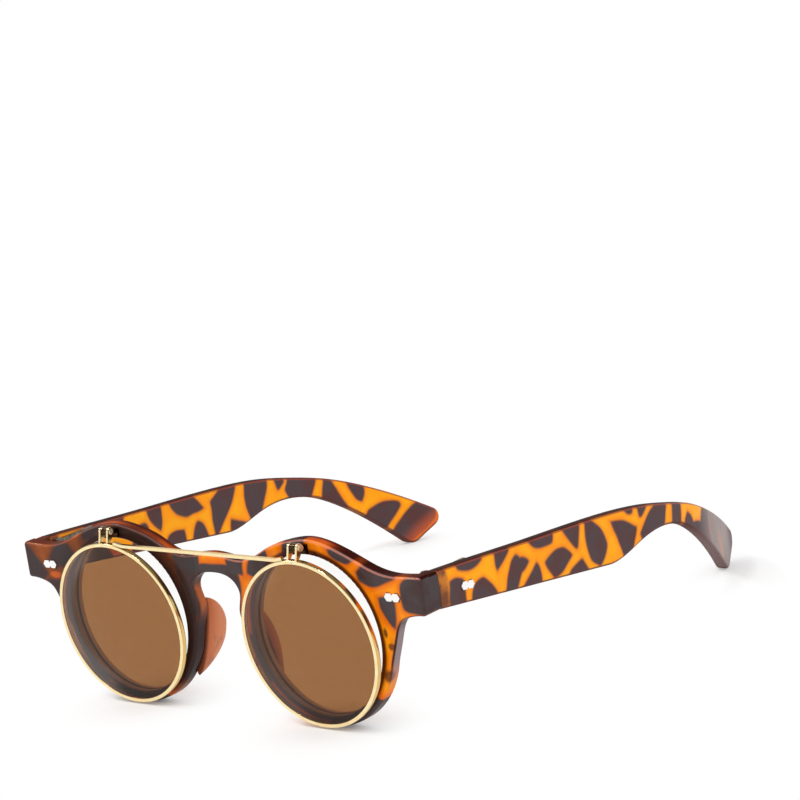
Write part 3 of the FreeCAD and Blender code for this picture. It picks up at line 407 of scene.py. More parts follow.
# The slanted end of a temple: the direction it faces, where it ends, and how strongly it is toned
TIP_FACE = {"run": 0.515, "up": 0.857, "end": 72.8, "strength": 0.85}
SHEEN_EVEN = 0.75

# Regions of a temple: strength, then each measure with the values where it begins and where it is full
JOINT_END = (1.0, ("run", 10.6, 9.0))
JOINT_HIGH = (1.0, ("up", 35.0, 37.4))
JOINT_LOW = (0.7, ("up", 33.2, 32.0))
# Where the tip's painted sheen lies, and how its streaks vary it
TIP_SHEEN = (1.0, ("run", 119.0, 132.0), ("run", 148.0, 140.0), ("sideways", 0.6, 0.95))
TIP_SHEEN_STREAK = (0.25, ("streak", 0.3, 0.7))
TIP_FLECK = (0.5, ("run", 125.0, 128.0), ("run", 141.0, 137.0), ("sideways", 0.6, 0.95),
             ("streak", 0.56, 0.66))
# Where the lower edges' painted shade turns to a painted sheen under the tip
TIP_UNDERSIDE = (1.0, ("run", 112.0, 130.0))
# A painted highlight on the upper bevel
UPPER_BEVEL_HIGHLIGHT = (0.75, ("upward", 0.25, 0.60))
# Painted shade along the top edge
UPPER_EDGE_SHADE = (0.92, ("upward", 0.70, 0.95))
# Painted shade along the lower edges
LOWER_EDGE_SHADE = (0.85, ("upward", -0.10, -0.45))
SAWN_TOP = (1.0, ("upward", 0.78, 0.96))
SAWN_UNDER = (1.0, ("upward", -0.20, -0.60))


def temple_acetate(name, patches, tip_tone, tip_rim, painted_gleam):
    """A temple's tortoise: golden at the joint and toned at its slanted end, where a painted sheen and the
    pattern's own amber flecks show as strongly as the gleam given; a painted highlight on its upper bevel,
    and painted shade along its top and lower edges.
    """
    material, start, place = new_finish(name)
    drifted = wandered(place)
    run = drifted.part("Y") - FRONT_FACE
    up = drifted.part("Z")
    direction = facing(start)
    at = {
        "run": run, "up": up, "upward": direction.part("Z"), "sideways": abs(direction.part("X")),
        "streak": place.vector("MULTIPLY", place, TIP_STRETCH).noise(*TIP_STREAK),
    }
    colour = amber_and_dark(place, outside(start, run, up, patches), TEMPLE_TONES)
    golden = place.cloud(*JOINT_CLOUD) * where(at, JOINT_HIGH).most(where(at, JOINT_LOW))
    colour = where(at, JOINT_END).blend(colour, golden.blend(JOINT_BROWN, JOINT_GOLD))
    slant = run * TIP_FACE["run"] - up * TIP_FACE["up"]
    tip = slant.rise(TIP_FACE["end"] - tip_rim, TIP_FACE["end"])
    colour = (tip * TIP_FACE["strength"]).blend(colour, tip_tone)
    # A painted sheen on the tip's side, streaked
    sheen = where(at, TIP_SHEEN) * (SHEEN_EVEN + where(at, TIP_SHEEN_STREAK))
    colour = (sheen * painted_gleam).blend(colour, TIP_PAINTED_SHEEN)
    # The pattern's own amber flecks, shown as strongly as the tip's painted sheen
    colour = (where(at, TIP_FLECK) * painted_gleam).blend(colour, TIP_AMBER)
    # A painted highlight on the upper bevel
    colour = where(at, UPPER_BEVEL_HIGHLIGHT).blend(colour, TEMPLE_BEVEL_HIGHLIGHT)
    # Painted shade along the top edge
    colour = where(at, UPPER_EDGE_SHADE).blend(colour, TEMPLE_TOP_SHADE)
    # Painted shade along the lower edges, turning to a greyish painted sheen under the tip
    under = (where(at, TIP_UNDERSIDE) * painted_gleam).blend(TEMPLE_TONES["dusk"], TIP_UNDER_SHEEN)
    colour = where(at, LOWER_EDGE_SHADE).blend(colour, under)
    polished(start, place, colour, where(at, SAWN_TOP).most(where(at, SAWN_UNDER)))
    return material


# Front
FRONT_TONES = {
    "amber": srgb(252, 150, 10), "honey": srgb(242, 128, 8), "rust": srgb(206, 84, 10),
    "dark": srgb(70, 60, 61), "dusk": srgb(66, 47, 46), "halo": 2.8,
}
# A darker copy of the front's tones, as painted shade on its right half
SHADED_TONES = {
    "amber": srgb(156, 82, 32), "honey": srgb(128, 64, 28), "rust": srgb(104, 50, 26),
    "dark": srgb(60, 52, 52), "dusk": srgb(66, 46, 44), "halo": 2.0,
}
# Tones painted on the flat tops: a redder glow of light through the amber, painted shade in the dark
PAINTED_TOP_TONES = {
    "amber": srgb(204, 92, 34), "honey": srgb(182, 72, 26), "rust": srgb(118, 38, 16),
    "dark": srgb(48, 16, 11), "dusk": srgb(66, 22, 13), "halo": 2.0,
}
# Painted shade on the lens lips and the rims' front edges
FRONT_EDGE_SHADE = srgb(54, 12, 7)
# Painted shade on the right half's lips and rims
SHADED_LIP = srgb(44, 26, 24)
RIM_RUST = srgb(120, 58, 26)
# A painted sheen on the rims' outer walls
RIM_WALL_SHEEN = srgb(142, 124, 126)
END_BROWN = srgb(96, 60, 34)
# Painted shade under the end pieces
END_UNDER_SHADE = srgb(70, 46, 42)
# A painted highlight along the brow's bevel
BROW_HIGHLIGHT = srgb(214, 138, 118)
# Pale painted light in the lens bores, and a painted highlight line at the lens groove
BORE_FRONT_LIGHT = srgb(158, 146, 142)
BORE_BACK_LIGHT = srgb(212, 200, 194)
GROOVE_HIGHLIGHT = srgb(240, 230, 222)
# On the keyhole walls, a painted lit orange low down and a painted grey sheen elsewhere
WALL_LIT_ORANGE = srgb(214, 118, 66)
WALL_GREY_SHEEN = srgb(82, 62, 58)

# Small spots near the face: across, up, half width and half height, all at one depth
SPOT_DEPTH = {"middle": 0.6, "half": 2.2}
SPOT_EDGE = (1.1, 0.5)
SPOT_STRENGTH = 0.85
LEFT_SPOTS = ((58.5, 23.4, 1.3, 1.2), (56.2, 15.2, 2.0, 2.2), (57.4, 27.0, 0.8, 1.6))
LEFT_SPOT = srgb(82, 40, 26)
RIGHT_SPOTS = ((-51.0, 45.6, 3.4, 1.2), (-60.0, 33.2, 3.0, 1.2), (-14.6, 4.6, 2.6, 2.0),
               (-22.0, 3.0, 3.2, 1.5))
RIGHT_SPOT = srgb(196, 92, 34)

# The right half's painted shade: how its patches spread, its even darkening, and its painted gleam on the
# brow
SHADED_SPREAD = 0.6
SHADED_TOP_GAP = 3.0
SHADED_RIM = 0.4
SHADED_FOOT = 0.25
BROW_GLEAM = {"left": 0.5, "right": 0.18}

# Regions of the front: strength, then each measure with the values where it begins and where it is full
SHADED_HALF = (1.0, ("across", -4.6, -6.4))
FLAT_TOP = (1.0, ("upward", 0.15, 0.45), ("backward", -0.40, -0.15))
# Painted shade along the tops' back edge and at both ends
TOP_BACK_EDGE_SHADE = (0.8, ("depth", FRONT_THICKNESS - 2.0, FRONT_THICKNESS - 0.9))
TOP_RIGHT_END_SHADE = (0.85, ("across", -47.0, -52.0))
TOP_LEFT_END_SHADE = (0.7, ("across", 42.0, 50.0))
END_SIDE = (1.0, ("sideways", 0.6, 0.9), ("beside", 66.0, 68.0), ("gap", 0.0, 0.8))
# Painted shade under the end pieces
END_LOWER_SIDE_SHADE = (0.85, ("upward", -0.3, -0.7), ("beside", 58.0, 62.0))
KEYHOLE_WALL = (0.9, ("sideways", 0.45, 0.8), ("beside", 12.6, 11.4), ("height", 38.6, 37.4))
# Where the keyhole walls take the painted lit orange
KEYHOLE_LIT = (1.0, ("ragged", 25.5, 31.5), ("ragged", 38.2, 34.6), ("depth", 0.5, 2.0))
RIM_EDGE = (0.55, ("reach", 23.8, 25.4), ("up", 28.0, 22.0), ("beside", 40.0, 46.0))
# Painted shade round the right half's rims
RIM_INNER = (1.0, ("reach", 28.5, 23.5))
RIM_NASAL = (0.45, ("across", -36.0, -28.0))
RIM_ABOVE_FOOT = (0.75, ("height", 3.0, 8.0))
# The rims' outer walls: a painted dark edge line in front, a painted sheen behind
RIM_WALL = (1.0, ("sideways", 0.45, 0.8), ("beside", 50.0, 54.0), ("beside", 65.0, 63.5),
            ("height", 10.0, 20.0), ("height", 34.0, 32.0), ("depth", 0.1, 0.5))
RIM_WALL_BACK = (1.0, ("depth", 0.7, 1.4))
# The brow's painted highlight
BROW_BEVEL = (1.0, ("upward", 0.30, 0.50), ("upward", 0.92, 0.75), ("backward", -0.30, -0.50),
              ("height", 38.0, 41.0))
# Painted shade on the lens lips
LENS_LIP = (0.92, ("reach", 23.3, 22.3))
# Pale painted light in the bores, with a painted highlight line at the groove
LENS_BORE = (1.0, ("reach", 21.9, 21.6), ("backward", -0.75, -0.45))
LENS_BORE_BACK = (1.0, ("depth", 1.0, 2.6))
LENS_GROOVE = (1.0, ("depth", 1.1, 1.4), ("depth", 2.0, 1.7))


def front_measures(start, place):
    """What the front's regions are told apart by, at a point of its surface."""
    drifted = wandered(place)
    direction = facing(start)
    height = place.part("Z")
    at = {
        "across": drifted.part("X"), "up": drifted.part("Z"),
        "beside": abs(place.part("X")), "height": height, "depth": place.part("Y") - FRONT_FACE,
        "reach": from_eye(start, place),
        "ragged": height + place.noise(*KEYHOLE_RAGGED) * KEYHOLE_RAGGED_REACH,
        "sideways": abs(direction.part("X")), "backward": direction.part("Y"), "upward": direction.part("Z"),
    }
    at["gap"] = outside(start, at["across"], at["up"], FRONT_PATCHES)
    return at


def spotted(start, at, colour, spots, tone):
    """The colour with small soft oval spots of another tone."""
    deep = (at["depth"] - SPOT_DEPTH["middle"]) / SPOT_DEPTH["half"]
    for across, up, wide, high in spots:
        away = triple(start, (at["across"] - across) / wide, (at["up"] - up) / high, deep).length()
        colour = (away.rise(*SPOT_EDGE) * SPOT_STRENGTH).blend(colour, tone)
    return colour


def rim_tones(at, shaded, colour):
    """The rims: rusty at their outer edges, with painted shade round the right lens, and on their outer walls
    a painted sheen behind a painted dark edge line.
    """
    colour = where(at, RIM_EDGE).blend(colour, RIM_RUST)
    # Painted shade round the right half's lens
    darker = shaded * (SHADED_RIM + where(at, RIM_NASAL)) * (SHADED_FOOT + where(at, RIM_ABOVE_FOOT))
    colour = (where(at, RIM_INNER) * darker).blend(colour, SHADED_LIP)
    # On the outer walls, a painted dark edge line and then a painted sheen
    return where(at, RIM_WALL).blend(colour, where(at, RIM_WALL_BACK).blend(FRONT_EDGE_SHADE, RIM_WALL_SHEEN))


def lens_openings(at, shaded, colour):
    """The lens openings: a lip darkened by painted shade, and a bore of pale painted light with a painted
    highlight line at the lens groove.
    """
    # Painted shade on the lip
    colour = where(at, LENS_LIP).blend(colour, shaded.blend(FRONT_EDGE_SHADE, SHADED_LIP))
    # Pale painted light in the bore, and a painted highlight line at the groove
    bore = where(at, LENS_BORE_BACK).blend(BORE_FRONT_LIGHT, BORE_BACK_LIGHT)
    return where(at, LENS_BORE).blend(colour, where(at, LENS_GROOVE).blend(bore, GROOVE_HIGHLIGHT))


def front_acetate(name):
    """The front's tortoise, darker on its right half by painted shade, with tones for its edges, walls and
    openings, most of them painted light and shade.
    """
    material, start, place = new_finish(name)
    at = front_measures(start, place)
    shaded = where(at, SHADED_HALF)
    # The right half takes the darker tones as painted shade
    colour = shaded.blend(amber_and_dark(place, at["gap"], FRONT_TONES),
                          amber_and_dark(place, at["gap"] * SHADED_SPREAD, SHADED_TONES))
    colour = spotted(start, at, colour, LEFT_SPOTS, LEFT_SPOT)
    colour = spotted(start, at, colour, RIGHT_SPOTS, RIGHT_SPOT)
    flat_top = where(at, FLAT_TOP)
    # The flat tops take painted tones: a redder glow of light through the amber, painted shade along their
    # back edge and ends
    top = amber_and_dark(place, at["gap"] + shaded * SHADED_TOP_GAP, PAINTED_TOP_TONES)
    top_shade = where(at, TOP_BACK_EDGE_SHADE).most(where(at, TOP_RIGHT_END_SHADE)).most(where(at, TOP_LEFT_END_SHADE))
    colour = flat_top.blend(colour, top_shade.blend(top, PAINTED_TOP_TONES["dark"]))
    colour = where(at, END_SIDE).blend(colour, END_BROWN)
    # The keyhole walls: painted lit orange low down, a painted grey sheen above
    colour = where(at, KEYHOLE_WALL).blend(colour, where(at, KEYHOLE_LIT).blend(WALL_GREY_SHEEN, WALL_LIT_ORANGE))
    colour = rim_tones(at, shaded, colour)
    # Painted shade under the end pieces
    colour = where(at, END_LOWER_SIDE_SHADE).blend(colour, END_UNDER_SHADE)
    # A painted highlight along the brow's bevel, fainter on the right half
    gleam = BROW_GLEAM["left"] + shaded * (BROW_GLEAM["right"] - BROW_GLEAM["left"])
    colour = (where(at, BROW_BEVEL) * gleam).blend(colour, BROW_HIGHLIGHT)
    colour = lens_openings(at, shaded, colour)
    polished(start, place, colour, flat_top)
    return material


# Nose pads
PAD = {"IOR": 1.49, "Specular IOR Level": 0.3}
PAD_ROUGH = {"base": 0.24, "polish": 0.14}
PAD_BUMP = {"depth": 0.02, "strength": 0.3}
PAD_FRONT = srgb(186, 98, 50)
PAD_BACK = srgb(212, 134, 92)
PAD_SMOKE = srgb(128, 84, 74)
PAD_SMOKE_STRENGTH = 0.55
PAD_SEAM = srgb(84, 40, 26)
PAD_REAR = (1.0, ("behind", -0.2, 4.6))
PAD_JOIN = (0.7, ("behind", 0.7, 0.2))


def pad_acetate(name):
    """The nose pads: paler to the back, with smoky streaks and a dark seam against the front."""
    material, start, place = new_finish(name)
    at = {"behind": place.part("Y") - FRONT_BACK}
    streak = place.vector("MULTIPLY", place, PAD_STRETCH).cloud(*PAD_CLOUD)
    colour = where(at, PAD_REAR).blend(PAD_FRONT, PAD_BACK)
    colour = (streak * PAD_SMOKE_STRENGTH).blend(colour, PAD_SMOKE)
    colour = where(at, PAD_JOIN).blend(colour, PAD_SEAM)
    polish = place.noise(*PAD_POLISH)
    shader = start.add("ShaderNodeBsdfPrincipled", values={
        **PAD, "Base Color": colour, "Roughness": PAD_ROUGH["base"] + polish * PAD_ROUGH["polish"],
        "Normal": bumped(start, polish, PAD_BUMP["depth"], PAD_BUMP["strength"])})
    show(start, shader)
    return material


# Lenses
BROWN_TINT = (0.557, 0.36, 0.187, 1.0)
CLEAR_TINT = (0.99, 0.99, 0.985, 1.0)
WHITE = (1, 1, 1, 1)
HEAD_ON_GLOSS = 0.04
GLOSS_POWER = 5.0
LENS_ROUGH = {"base": 0.02, "smudge": 0.05}
SMUDGE_SHARE = 0.004
# Where a painted reflection, a larger share of glossy skin, lies along one edge of each lens
PAINTED_REFLECTION_EDGE = (1.0, ("reach", 15.6, 18.6), ("across", -2.0, -12.0))


def lens_finish(name, tint, sheen, painted_gleam):
    """A tinted pane with a glossy skin, a little smudged, and with a painted reflection along one edge: more
    of the skin shows there by the gleam given.
    """
    material, start, place = new_finish(name)
    smudge = place.cloud(*SMUDGE_CLOUD)
    edge_on = start.add("ShaderNodeLayerWeight", values={"Blend": 0.5}, outlet="Facing")
    gloss = HEAD_ON_GLOSS + edge_on.math("POWER", edge_on, GLOSS_POWER) * (1.0 - HEAD_ON_GLOSS)
    side = place.part("X")
    at = {"reach": from_eye(start, place), "across": side - side.math("SIGN", side) * EYE[0]}
    # The glossy skin's share, raised along one edge as a painted reflection
    share = gloss * sheen + smudge * SMUDGE_SHARE + where(at, PAINTED_REFLECTION_EDGE) * painted_gleam
    through = start.add("ShaderNodeBsdfTransparent", values={"Color": tint})
    skin = start.add("ShaderNodeBsdfGlossy", values={
        "Color": WHITE, "Roughness": LENS_ROUGH["base"] + smudge * LENS_ROUGH["smudge"]})
    show(start, start.add("ShaderNodeMixShader", values={0: share, 1: through, 2: skin}))
    return material


# Metals
METAL_ROUGH = {"brush": 0.08, "plating": 0.05}
METAL_BUMP = {"depth": 0.004, "strength": 0.15}
# Painted shade on the side walls
SIDE_WALL_SHADE = (0.8, ("frontal", 0.75, 0.35))


def metal(name, bright, deep, rough, grain, edge=None):
    """A metal with cloudy plating and a fine grain, deeper on its side walls by painted shade if given an
    edge tone.
    """
    material, start, place = new_finish(name)
    plating = place.cloud(*PLATING_CLOUD)
    brush = place.noise(grain, BRUSH_DETAIL)
    colour = plating.blend(bright, deep)
    # The edge tone is painted shade on the side walls
    if edge is not None:
        at = {"frontal": abs(facing(start).part("Y"))}
        colour = where(at, SIDE_WALL_SHADE).blend(colour, edge)
    shader = start.add("ShaderNodeBsdfPrincipled", values={
        "Base Color": colour, "Metallic": 1.0,
        "Roughness": rough + brush * METAL_ROUGH["brush"] + plating * METAL_ROUGH["plating"],
        "Normal": bumped(start, brush, METAL_BUMP["depth"], METAL_BUMP["strength"])})
    show(start, shader)
    return material


FINISH = {
    "front": front_acetate("tortoise_front_acetate"),
    # The left temple's tip gets a painted sheen with its amber flecks; the right temple's gets none
    "left_temple": temple_acetate("tortoise_left_temple", LEFT_TEMPLE_PATCHES, TEMPLE_TONES["dark"],
                                  tip_rim=2.0, painted_gleam=0.7),
    "right_temple": temple_acetate("tortoise_right_temple", RIGHT_TEMPLE_PATCHES, TIP_RUST,
                                   tip_rim=6.5, painted_gleam=0.0),
    "pad": pad_acetate("pad_acetate"),
    "clear": lens_finish("clear_demo_lens", CLEAR_TINT, sheen=0.3, painted_gleam=0.0),
    # The brown lenses get a painted reflection along one edge, stronger on the right lens
    "left_brown": lens_finish("left_brown_lens", BROWN_TINT, sheen=0.7, painted_gleam=0.03),
    "right_brown": lens_finish("right_brown_lens", BROWN_TINT, sheen=0.7, painted_gleam=0.065),
    # The gold's edge tone is painted shade on the side walls of its rims
    "gold": metal("polished_pale_gold", srgb(255, 238, 190), srgb(254, 228, 170), rough=0.12, grain=5.0,
                  edge=srgb(214, 172, 92)),
    "silver": metal("bright_silver", srgb(255, 255, 253), srgb(253, 252, 250), rough=0.25, grain=6.0),
    "steel": metal("hinge_steel", srgb(132, 122, 110), srgb(92, 84, 76), rough=0.3, grain=4.0),
    "screw": metal("screw_gold", srgb(244, 230, 200), srgb(206, 186, 152), rough=0.42, grain=6.0),
    # A dark metal for the flip brackets, darker than the gold beside them
    "dark_metal": metal("dark_bracket_metal", srgb(88, 64, 42), srgb(30, 20, 14), rough=0.22, grain=4.0),
}


# CAD nodes
def dress(name, finish):
    """Gives a CAD node its finish on every slot."""
    data = NODES[name].data
    if not data.materials:
        data.materials.append(None)
    for slot in range(len(data.materials)):
        data.materials[slot] = FINISH[finish]


def dress_nodes():
    dress("front_frame", "front")
    dress("flip_bar", "gold")
    for side in SIDES:
        dress(f"{side}_temple", f"{side}_temple")
        dress(f"{side}_nose_pad", "pad")
        dress(f"{side}_clear_lens", "clear")
        dress(f"{side}_tinted_lens", f"{side}_brown")
        dress(f"{side}_flip_bracket", "dark_metal")
        for piece in ("outer_flip_ear", "inner_flip_ear"):
            dress(f"{side}_{piece}", "gold")
        for piece in ("front_hinge_leaf", "temple_hinge_leaf"):
            dress(f"{side}_{piece}", "steel")


# Pieces made by node trees
def new_tree(name, sizes):
    """A geometry tree with one named input for each size, in millimetres; its wires come back by name."""
    tree = bpy.data.node_groups.new(name, "GeometryNodeTree")
    tree.interface.new_socket("Geometry", in_out="OUTPUT", socket_type="NodeSocketGeometry")
    for label in sizes:
        tree.interface.new_socket(label, in_out="INPUT", socket_type="NodeSocketFloat")
    start = Wire(tree)
    group = tree.nodes.new("NodeGroupInput")
    return tree, start, {label: Wire(tree, group.outputs[label]) for label in sizes}


def finish_tree(start, shape, finish):
    shape = start.add("GeometryNodeRealizeInstances", values={"Geometry": shape})
    shape = start.add("GeometryNodeSetMaterial", values={"Geometry": shape, "Material": FINISH[finish]})
    start.add("NodeGroupOutput", values={0: shape})


def grow(name, tree, sizes):
    """Runs a tree with these sizes and keeps what it makes as a plain mesh."""
    host = bpy.data.objects.new(name + "_host", bpy.data.meshes.new(name + "_host"))
    bpy.context.scene.collection.objects.link(host)
    modifier = host.modifiers.new("shape", "NODES")
    modifier.node_group = tree
    for item in tree.interface.items_tree:
        if item.in_out == "INPUT":
            modifier[item.identifier] = float(sizes[item.name])
    bpy.context.view_layer.update()
    seen = host.evaluated_get(bpy.context.evaluated_depsgraph_get())
    mesh = bpy.data.meshes.new_from_object(seen)
    host.modifiers.remove(modifier)
    bpy.data.objects.remove(host)
    mesh.transform(Matrix.Scale(MM, 4))
    mesh.name = name
    piece = bpy.data.objects.new(name, mesh)
    bpy.context.scene.collection.objects.link(piece)
    return piece


def carry(piece, crease, body, nodes):
    """Shades a piece smooth up to a crease angle, and sets it on its body in the place of these CAD nodes."""
    piece.data.shade_smooth()
    piece.data.set_sharp_from_angle(angle=math.radians(crease))
    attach(piece, body)
    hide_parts(*nodes)


def both(node):
    return [f"{side}_{node}" for side in SIDES]


def centre_of(node):
    low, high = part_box(node)
    return (low + high) / 2 / MM


def moved(start, shape, place=(0, 0, 0), turn=(0, 0, 0)):
    return start.add("GeometryNodeTransform", values={
        "Geometry": shape, "Translation": place, "Rotation": turn})


def raised(start, shape, height):
    return moved(start, shape, triple(start, 0.0, 0.0, height))


def joined(start, shapes):
    """Several shapes as one geometry."""
    together = start.add("GeometryNodeJoinGeometry")
    for shape in shapes:
        start.tree.links.new(shape.socket, together.socket.node.inputs[0])
    return together


def trimmed(start, operation, shapes, base=None):
    """A union of shapes, or a base with the shapes cut out of it."""
    solid = start.add("GeometryNodeMeshBoolean", {"operation": operation, "solver": "EXACT"})
    if base is not None:
        start.tree.links.new(base.socket, solid.socket.node.inputs["Mesh 1"])
    for shape in shapes:
        start.tree.links.new(shape.socket, solid.socket.node.inputs["Mesh 2"])
    return solid


def frustum(start, sides, low, high, height):
    return start.add("GeometryNodeMeshCone", values={
        "Vertices": sides, "Radius Bottom": low, "Radius Top": high, "Depth": height})


def turned(length, head):
    """The turn that lays a piece's X axis along one direction and its Z axis along the other."""
    side = Vector(head).cross(Vector(length))
    return tuple(Matrix((length, side, head)).transposed().to_euler())


def mirrored(place, sign):
    return (place[0] * sign, place[1], place[2])


def eyewires():
    """A rounded wire swept round each lens, open at the slit where its closing screw draws it together."""
    tree, start, size = new_tree("swept_eyewire", tuple(RING))
    middle = size["radius"] - size["wall"] * 0.5
    half_gap = (size["slit"] * 0.5) / middle
    path = start.add("GeometryNodeCurveArc", {"mode": "RADIUS"}, {
        "Resolution": RING_STEPS, "Radius": middle, "Start Angle": half_gap + math.pi / 2,
        "Sweep Angle": 2 * math.pi - half_gap * 2.0})
    section = start.add("GeometryNodeCurvePrimitiveQuadrilateral", {"mode": "RECTANGLE"},
                        {"Width": size["wall"], "Height": size["depth"]})
    section = start.add("GeometryNodeFilletCurve", {"mode": "POLY"},
                        {"Curve": section, "Radius": size["edge"], "Count": RING_EDGE_STEPS})
    wire = start.add("GeometryNodeCurveToMesh", values={
        "Curve": path, "Profile Curve": section, "Fill Caps": True})
    upright = triple(start, (size["hang"] + 90.0) * math.radians(1), 0.0)
    wire = moved(start, wire, turn=upright)
    nodes = both("eyewire")
    finish_tree(start, joined(start, [moved(start, wire, tuple(centre_of(node))) for node in nodes]), "gold")
    carry(grow("eyewires", tree, RING), RING_CREASE, "flip_up", nodes)


def stud_tree(name, places):
    """Two six-sided heads grown together, on two shanks, set at each of these places."""
    tree, start, size = new_tree(name, tuple(STUD))
    head = frustum(start, HEXAGON, size["radius"], size["face"], size["proud"] + size["sunk"])
    head = start.add("GeometryNodeTransform", values={
        "Geometry": head, "Scale": triple(start, 1.0, size["squash"], 1.0)})
    shank = frustum(start, SHANK_SIDES, size["shank"], size["shank"], size["depth"])
    low = 0.0 - size["sunk"]
    foot = low - size["depth"]
    ways = (1, -1)
    heads = [moved(start, head, triple(start, size["spread"] * way, 0.0, low)) for way in ways]
    shanks = [moved(start, shank, triple(start, size["shank_spread"] * way, 0.0, foot)) for way in ways]
    stud = joined(start, [trimmed(start, "UNION", heads)] + shanks)
    finish_tree(start, joined(start, [moved(start, stud, place, turn) for place, turn in places]), "silver")
    return tree


def pin_tree(name, finish, places):
    """A pin with a slotted head at one end and a peened button at the other, set at each of these places."""
    tree, start, size = new_tree(name, tuple(PIN))
    shaft = frustum(start, PIN_SIDES, size["radius"], size["radius"], size["length"])
    head = frustum(start, HEAD_SIDES, size["head"], size["head_face"], size["head_length"])
    groove = start.add("GeometryNodeMeshCube", values={
        "Size": triple(start, size["head"] * SLOT_OVERRUN, size["slot"], size["head_length"])})
    head = trimmed(start, "DIFFERENCE", [raised(start, groove, size["head_length"])], head)
    head = raised(start, head, size["length"])
    button = frustum(start, PIN_SIDES, size["button"] * BUTTON_TAPER, size["button"], size["button_length"])
    button = raised(start, button, 0.0 - size["button_length"])
    pin = joined(start, [shaft, head, button])
    finish_tree(start, joined(start, [moved(start, pin, place, turn) for place, turn in places]), finish)
    return tree


def fasteners():
    """The studs, flip pins and hinge screws, one mesh for each body that carries them."""
    signs = SIDES.values()
    forward = turned((1, 0, 0), (0, -1, 0))
    studs = stud_tree("front_stud_pair", [(mirrored(FRONT_STUD_PLACE, sign), forward) for sign in signs])
    pins = pin_tree("slotted_flip_pins", "screw",
                    [(mirrored(PIN_PLACE, sign), turned(PIN_SLOT, (sign, 0, 0))) for sign in signs])
    upright = turned(SCREW_SLOT, (0, 0, 1))
    screws = pin_tree("slotted_hinge_screws", "steel",
                      [(mirrored(SCREW_PLACE, sign), upright) for sign in signs])
    carry(grow("front_studs", studs, STUD), FASTENER_CREASE, "front", both("front_stud"))
    carry(grow("flip_pins", pins, PIN), FASTENER_CREASE, "flip_up", both("flip_pin"))
    carry(grow("hinge_screws", screws, SCREW), FASTENER_CREASE, "front", both("hinge_screw"))
    slope = math.radians(TEMPLE_STUD_SLOPE)
    downhill = (0, math.cos(slope), -math.sin(slope))
    for side, sign in SIDES.items():
        tree = stud_tree(f"{side}_temple_stud_tree",
                         [(mirrored(TEMPLE_STUD_PLACE, sign), turned(downhill, (sign, 0, 0)))])
        piece = grow(f"{side}_temple_stud_head", tree, TEMPLE_STUD)
        carry(piece, FASTENER_CREASE, f"{side}_arm", [f"{side}_temple_stud"])


# Floor, light and camera
# Lamps and the floor's reach are in metres, the camera's place in millimetres
FLOOR_REACH = 3.0
PAPER_DULL = (0.93, 0.93, 0.93, 1)
PAPER_BRIGHT = (0.95, 0.95, 0.95, 1)
PAPER = {"Roughness": 0.9, "Specular IOR Level": 0.0}
FOOT_GLOW = 0.10
AWAY_FROM_FEET = (0.88, ("away", 3.0, 27.0))
DIM_CEILING = (0.75, ("upward", 0.30, 0.70))
DIM_FLANK = (0.7, ("across", -0.72, -0.92))
LAMPS = {"brow_light": (-0.59, -0.20, 0.66), "slope_light": (-0.05, -0.46, 0.79)}
LAMP_AIM = (0, 0, 0.03)
LAMP_WIDTH = 0.14
LAMP_POWER = 1.3
PHOTO_TURN = {"azimuth": 42.132, "raised": 12.446, "roll": -8.579}
PHOTO_PLACE = (557.02, -606.60, 245.85)
PHOTO_LENS = 139.45
SENSOR_WIDTH = 36.0
CLIP_START = 0.05


def ray(start, kind):
    return start.add("ShaderNodeLightPath", outlet=kind)


def floor():
    """White paper that is lit plainly round the part's four feet and glows white further off."""
    material, start, place = new_finish("white_floor")
    mirrored_or_through = ray(start, "Is Glossy Ray").most(ray(start, "Is Transmission Ray"))
    seen = ray(start, "Is Camera Ray").most(mirrored_or_through)
    paper = start.add("ShaderNodeBsdfPrincipled", values={
        **PAPER, "Base Color": place.noise(*PAPER_GRAIN).blend(PAPER_DULL, PAPER_BRIGHT)})
    glow = start.add("ShaderNodeEmission", values={"Color": WHITE, "Strength": 1.0})
    nearest = None
    for foot in ((EYE[0], FRONT_FACE, 0.0), (*TIP_FOOT, 0.0)):
        for sign in SIDES.values():
            away = place.vector("DISTANCE", place, mirrored(foot, sign), outlet=1)
            nearest = away if nearest is None else nearest.least(away)
    share = seen * (FOOT_GLOW + where({"away": nearest}, AWAY_FROM_FEET))
    show(start, start.add("ShaderNodeMixShader", values={0: share, 1: paper, 2: glow}))
    mesh = bpy.data.meshes.new("floor")
    corners = [(FLOOR_REACH * across, FLOOR_REACH * back, 0)
               for across, back in ((-1, -1), (1, -1), (1, 1), (-1, 1))]
    mesh.from_pydata(corners, [], [(0, 1, 2, 3)])
    mesh.materials.append(material)
    plane = bpy.data.objects.new("floor", mesh)
    bpy.context.scene.collection.objects.link(plane)


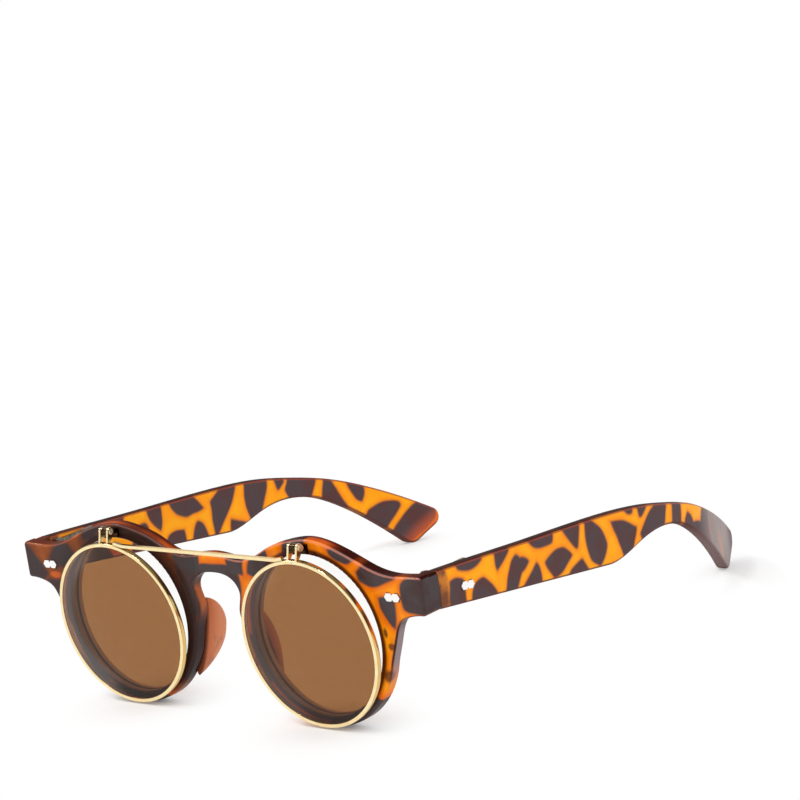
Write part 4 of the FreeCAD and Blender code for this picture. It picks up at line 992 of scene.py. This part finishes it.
def sky():
    """Even white light all round, with a dimmer ceiling and right flank where a glossy surface mirrors it."""
    world = bpy.data.worlds.new("studio")
    bpy.context.scene.world = world
    world.use_nodes = True
    world.node_tree.nodes.clear()
    start = Wire(world.node_tree)
    direction = start.add("ShaderNodeTexCoord", outlet="Generated")
    at = {"across": direction.part("X"), "upward": direction.part("Z")}
    mirror = (1.0 - where(at, DIM_CEILING)) * (1.0 - where(at, DIM_FLANK))
    strength = 1.0 + ray(start, "Is Glossy Ray") * (mirror - 1.0)
    glow = start.add("ShaderNodeBackground", values={"Color": WHITE, "Strength": strength})
    start.add("ShaderNodeOutputWorld", values={"Surface": glow})


def softboxes():
    """Two small round lamps that put a gleam on the brow and on the slope beside it."""
    for name, place in LAMPS.items():
        lamp = bpy.data.lights.new(name, "AREA")
        lamp.shape = "DISK"
        lamp.size = LAMP_WIDTH
        lamp.energy = LAMP_POWER
        item = bpy.data.objects.new(name, lamp)
        item.location = place
        item.rotation_euler = (Vector(LAMP_AIM) - Vector(place)).to_track_quat("-Z", "Y").to_euler()
        bpy.context.scene.collection.objects.link(item)


def camera():
    """Stands where the photograph's camera stood: turned, raised and rolled, with a long lens."""
    azimuth, lift, roll = (math.radians(PHOTO_TURN[angle]) for angle in ("azimuth", "raised", "roll"))
    back = Vector((math.sin(azimuth) * math.cos(lift), -math.cos(azimuth) * math.cos(lift), math.sin(lift)))
    level = Vector((0, 0, 1)).cross(back).normalized()
    upward = back.cross(level)
    right = math.cos(roll) * level + math.sin(roll) * upward
    top = math.cos(roll) * upward - math.sin(roll) * level
    data = bpy.data.cameras.new("photo_camera")
    data.sensor_fit = "HORIZONTAL"
    data.sensor_width = SENSOR_WIDTH
    data.lens = PHOTO_LENS
    data.clip_start = CLIP_START
    item = bpy.data.objects.new("photo_camera", data)
    turn = Matrix((right, top, back)).transposed().to_4x4()
    item.matrix_world = Matrix.Translation(Vector(PHOTO_PLACE) * MM) @ turn
    bpy.context.scene.collection.objects.link(item)
    bpy.context.scene.camera = item


dress_nodes()
eyewires()
fasteners()
floor()
sky()
softboxes()
camera()
bpy.context.scene.view_settings.view_transform = "Standard"
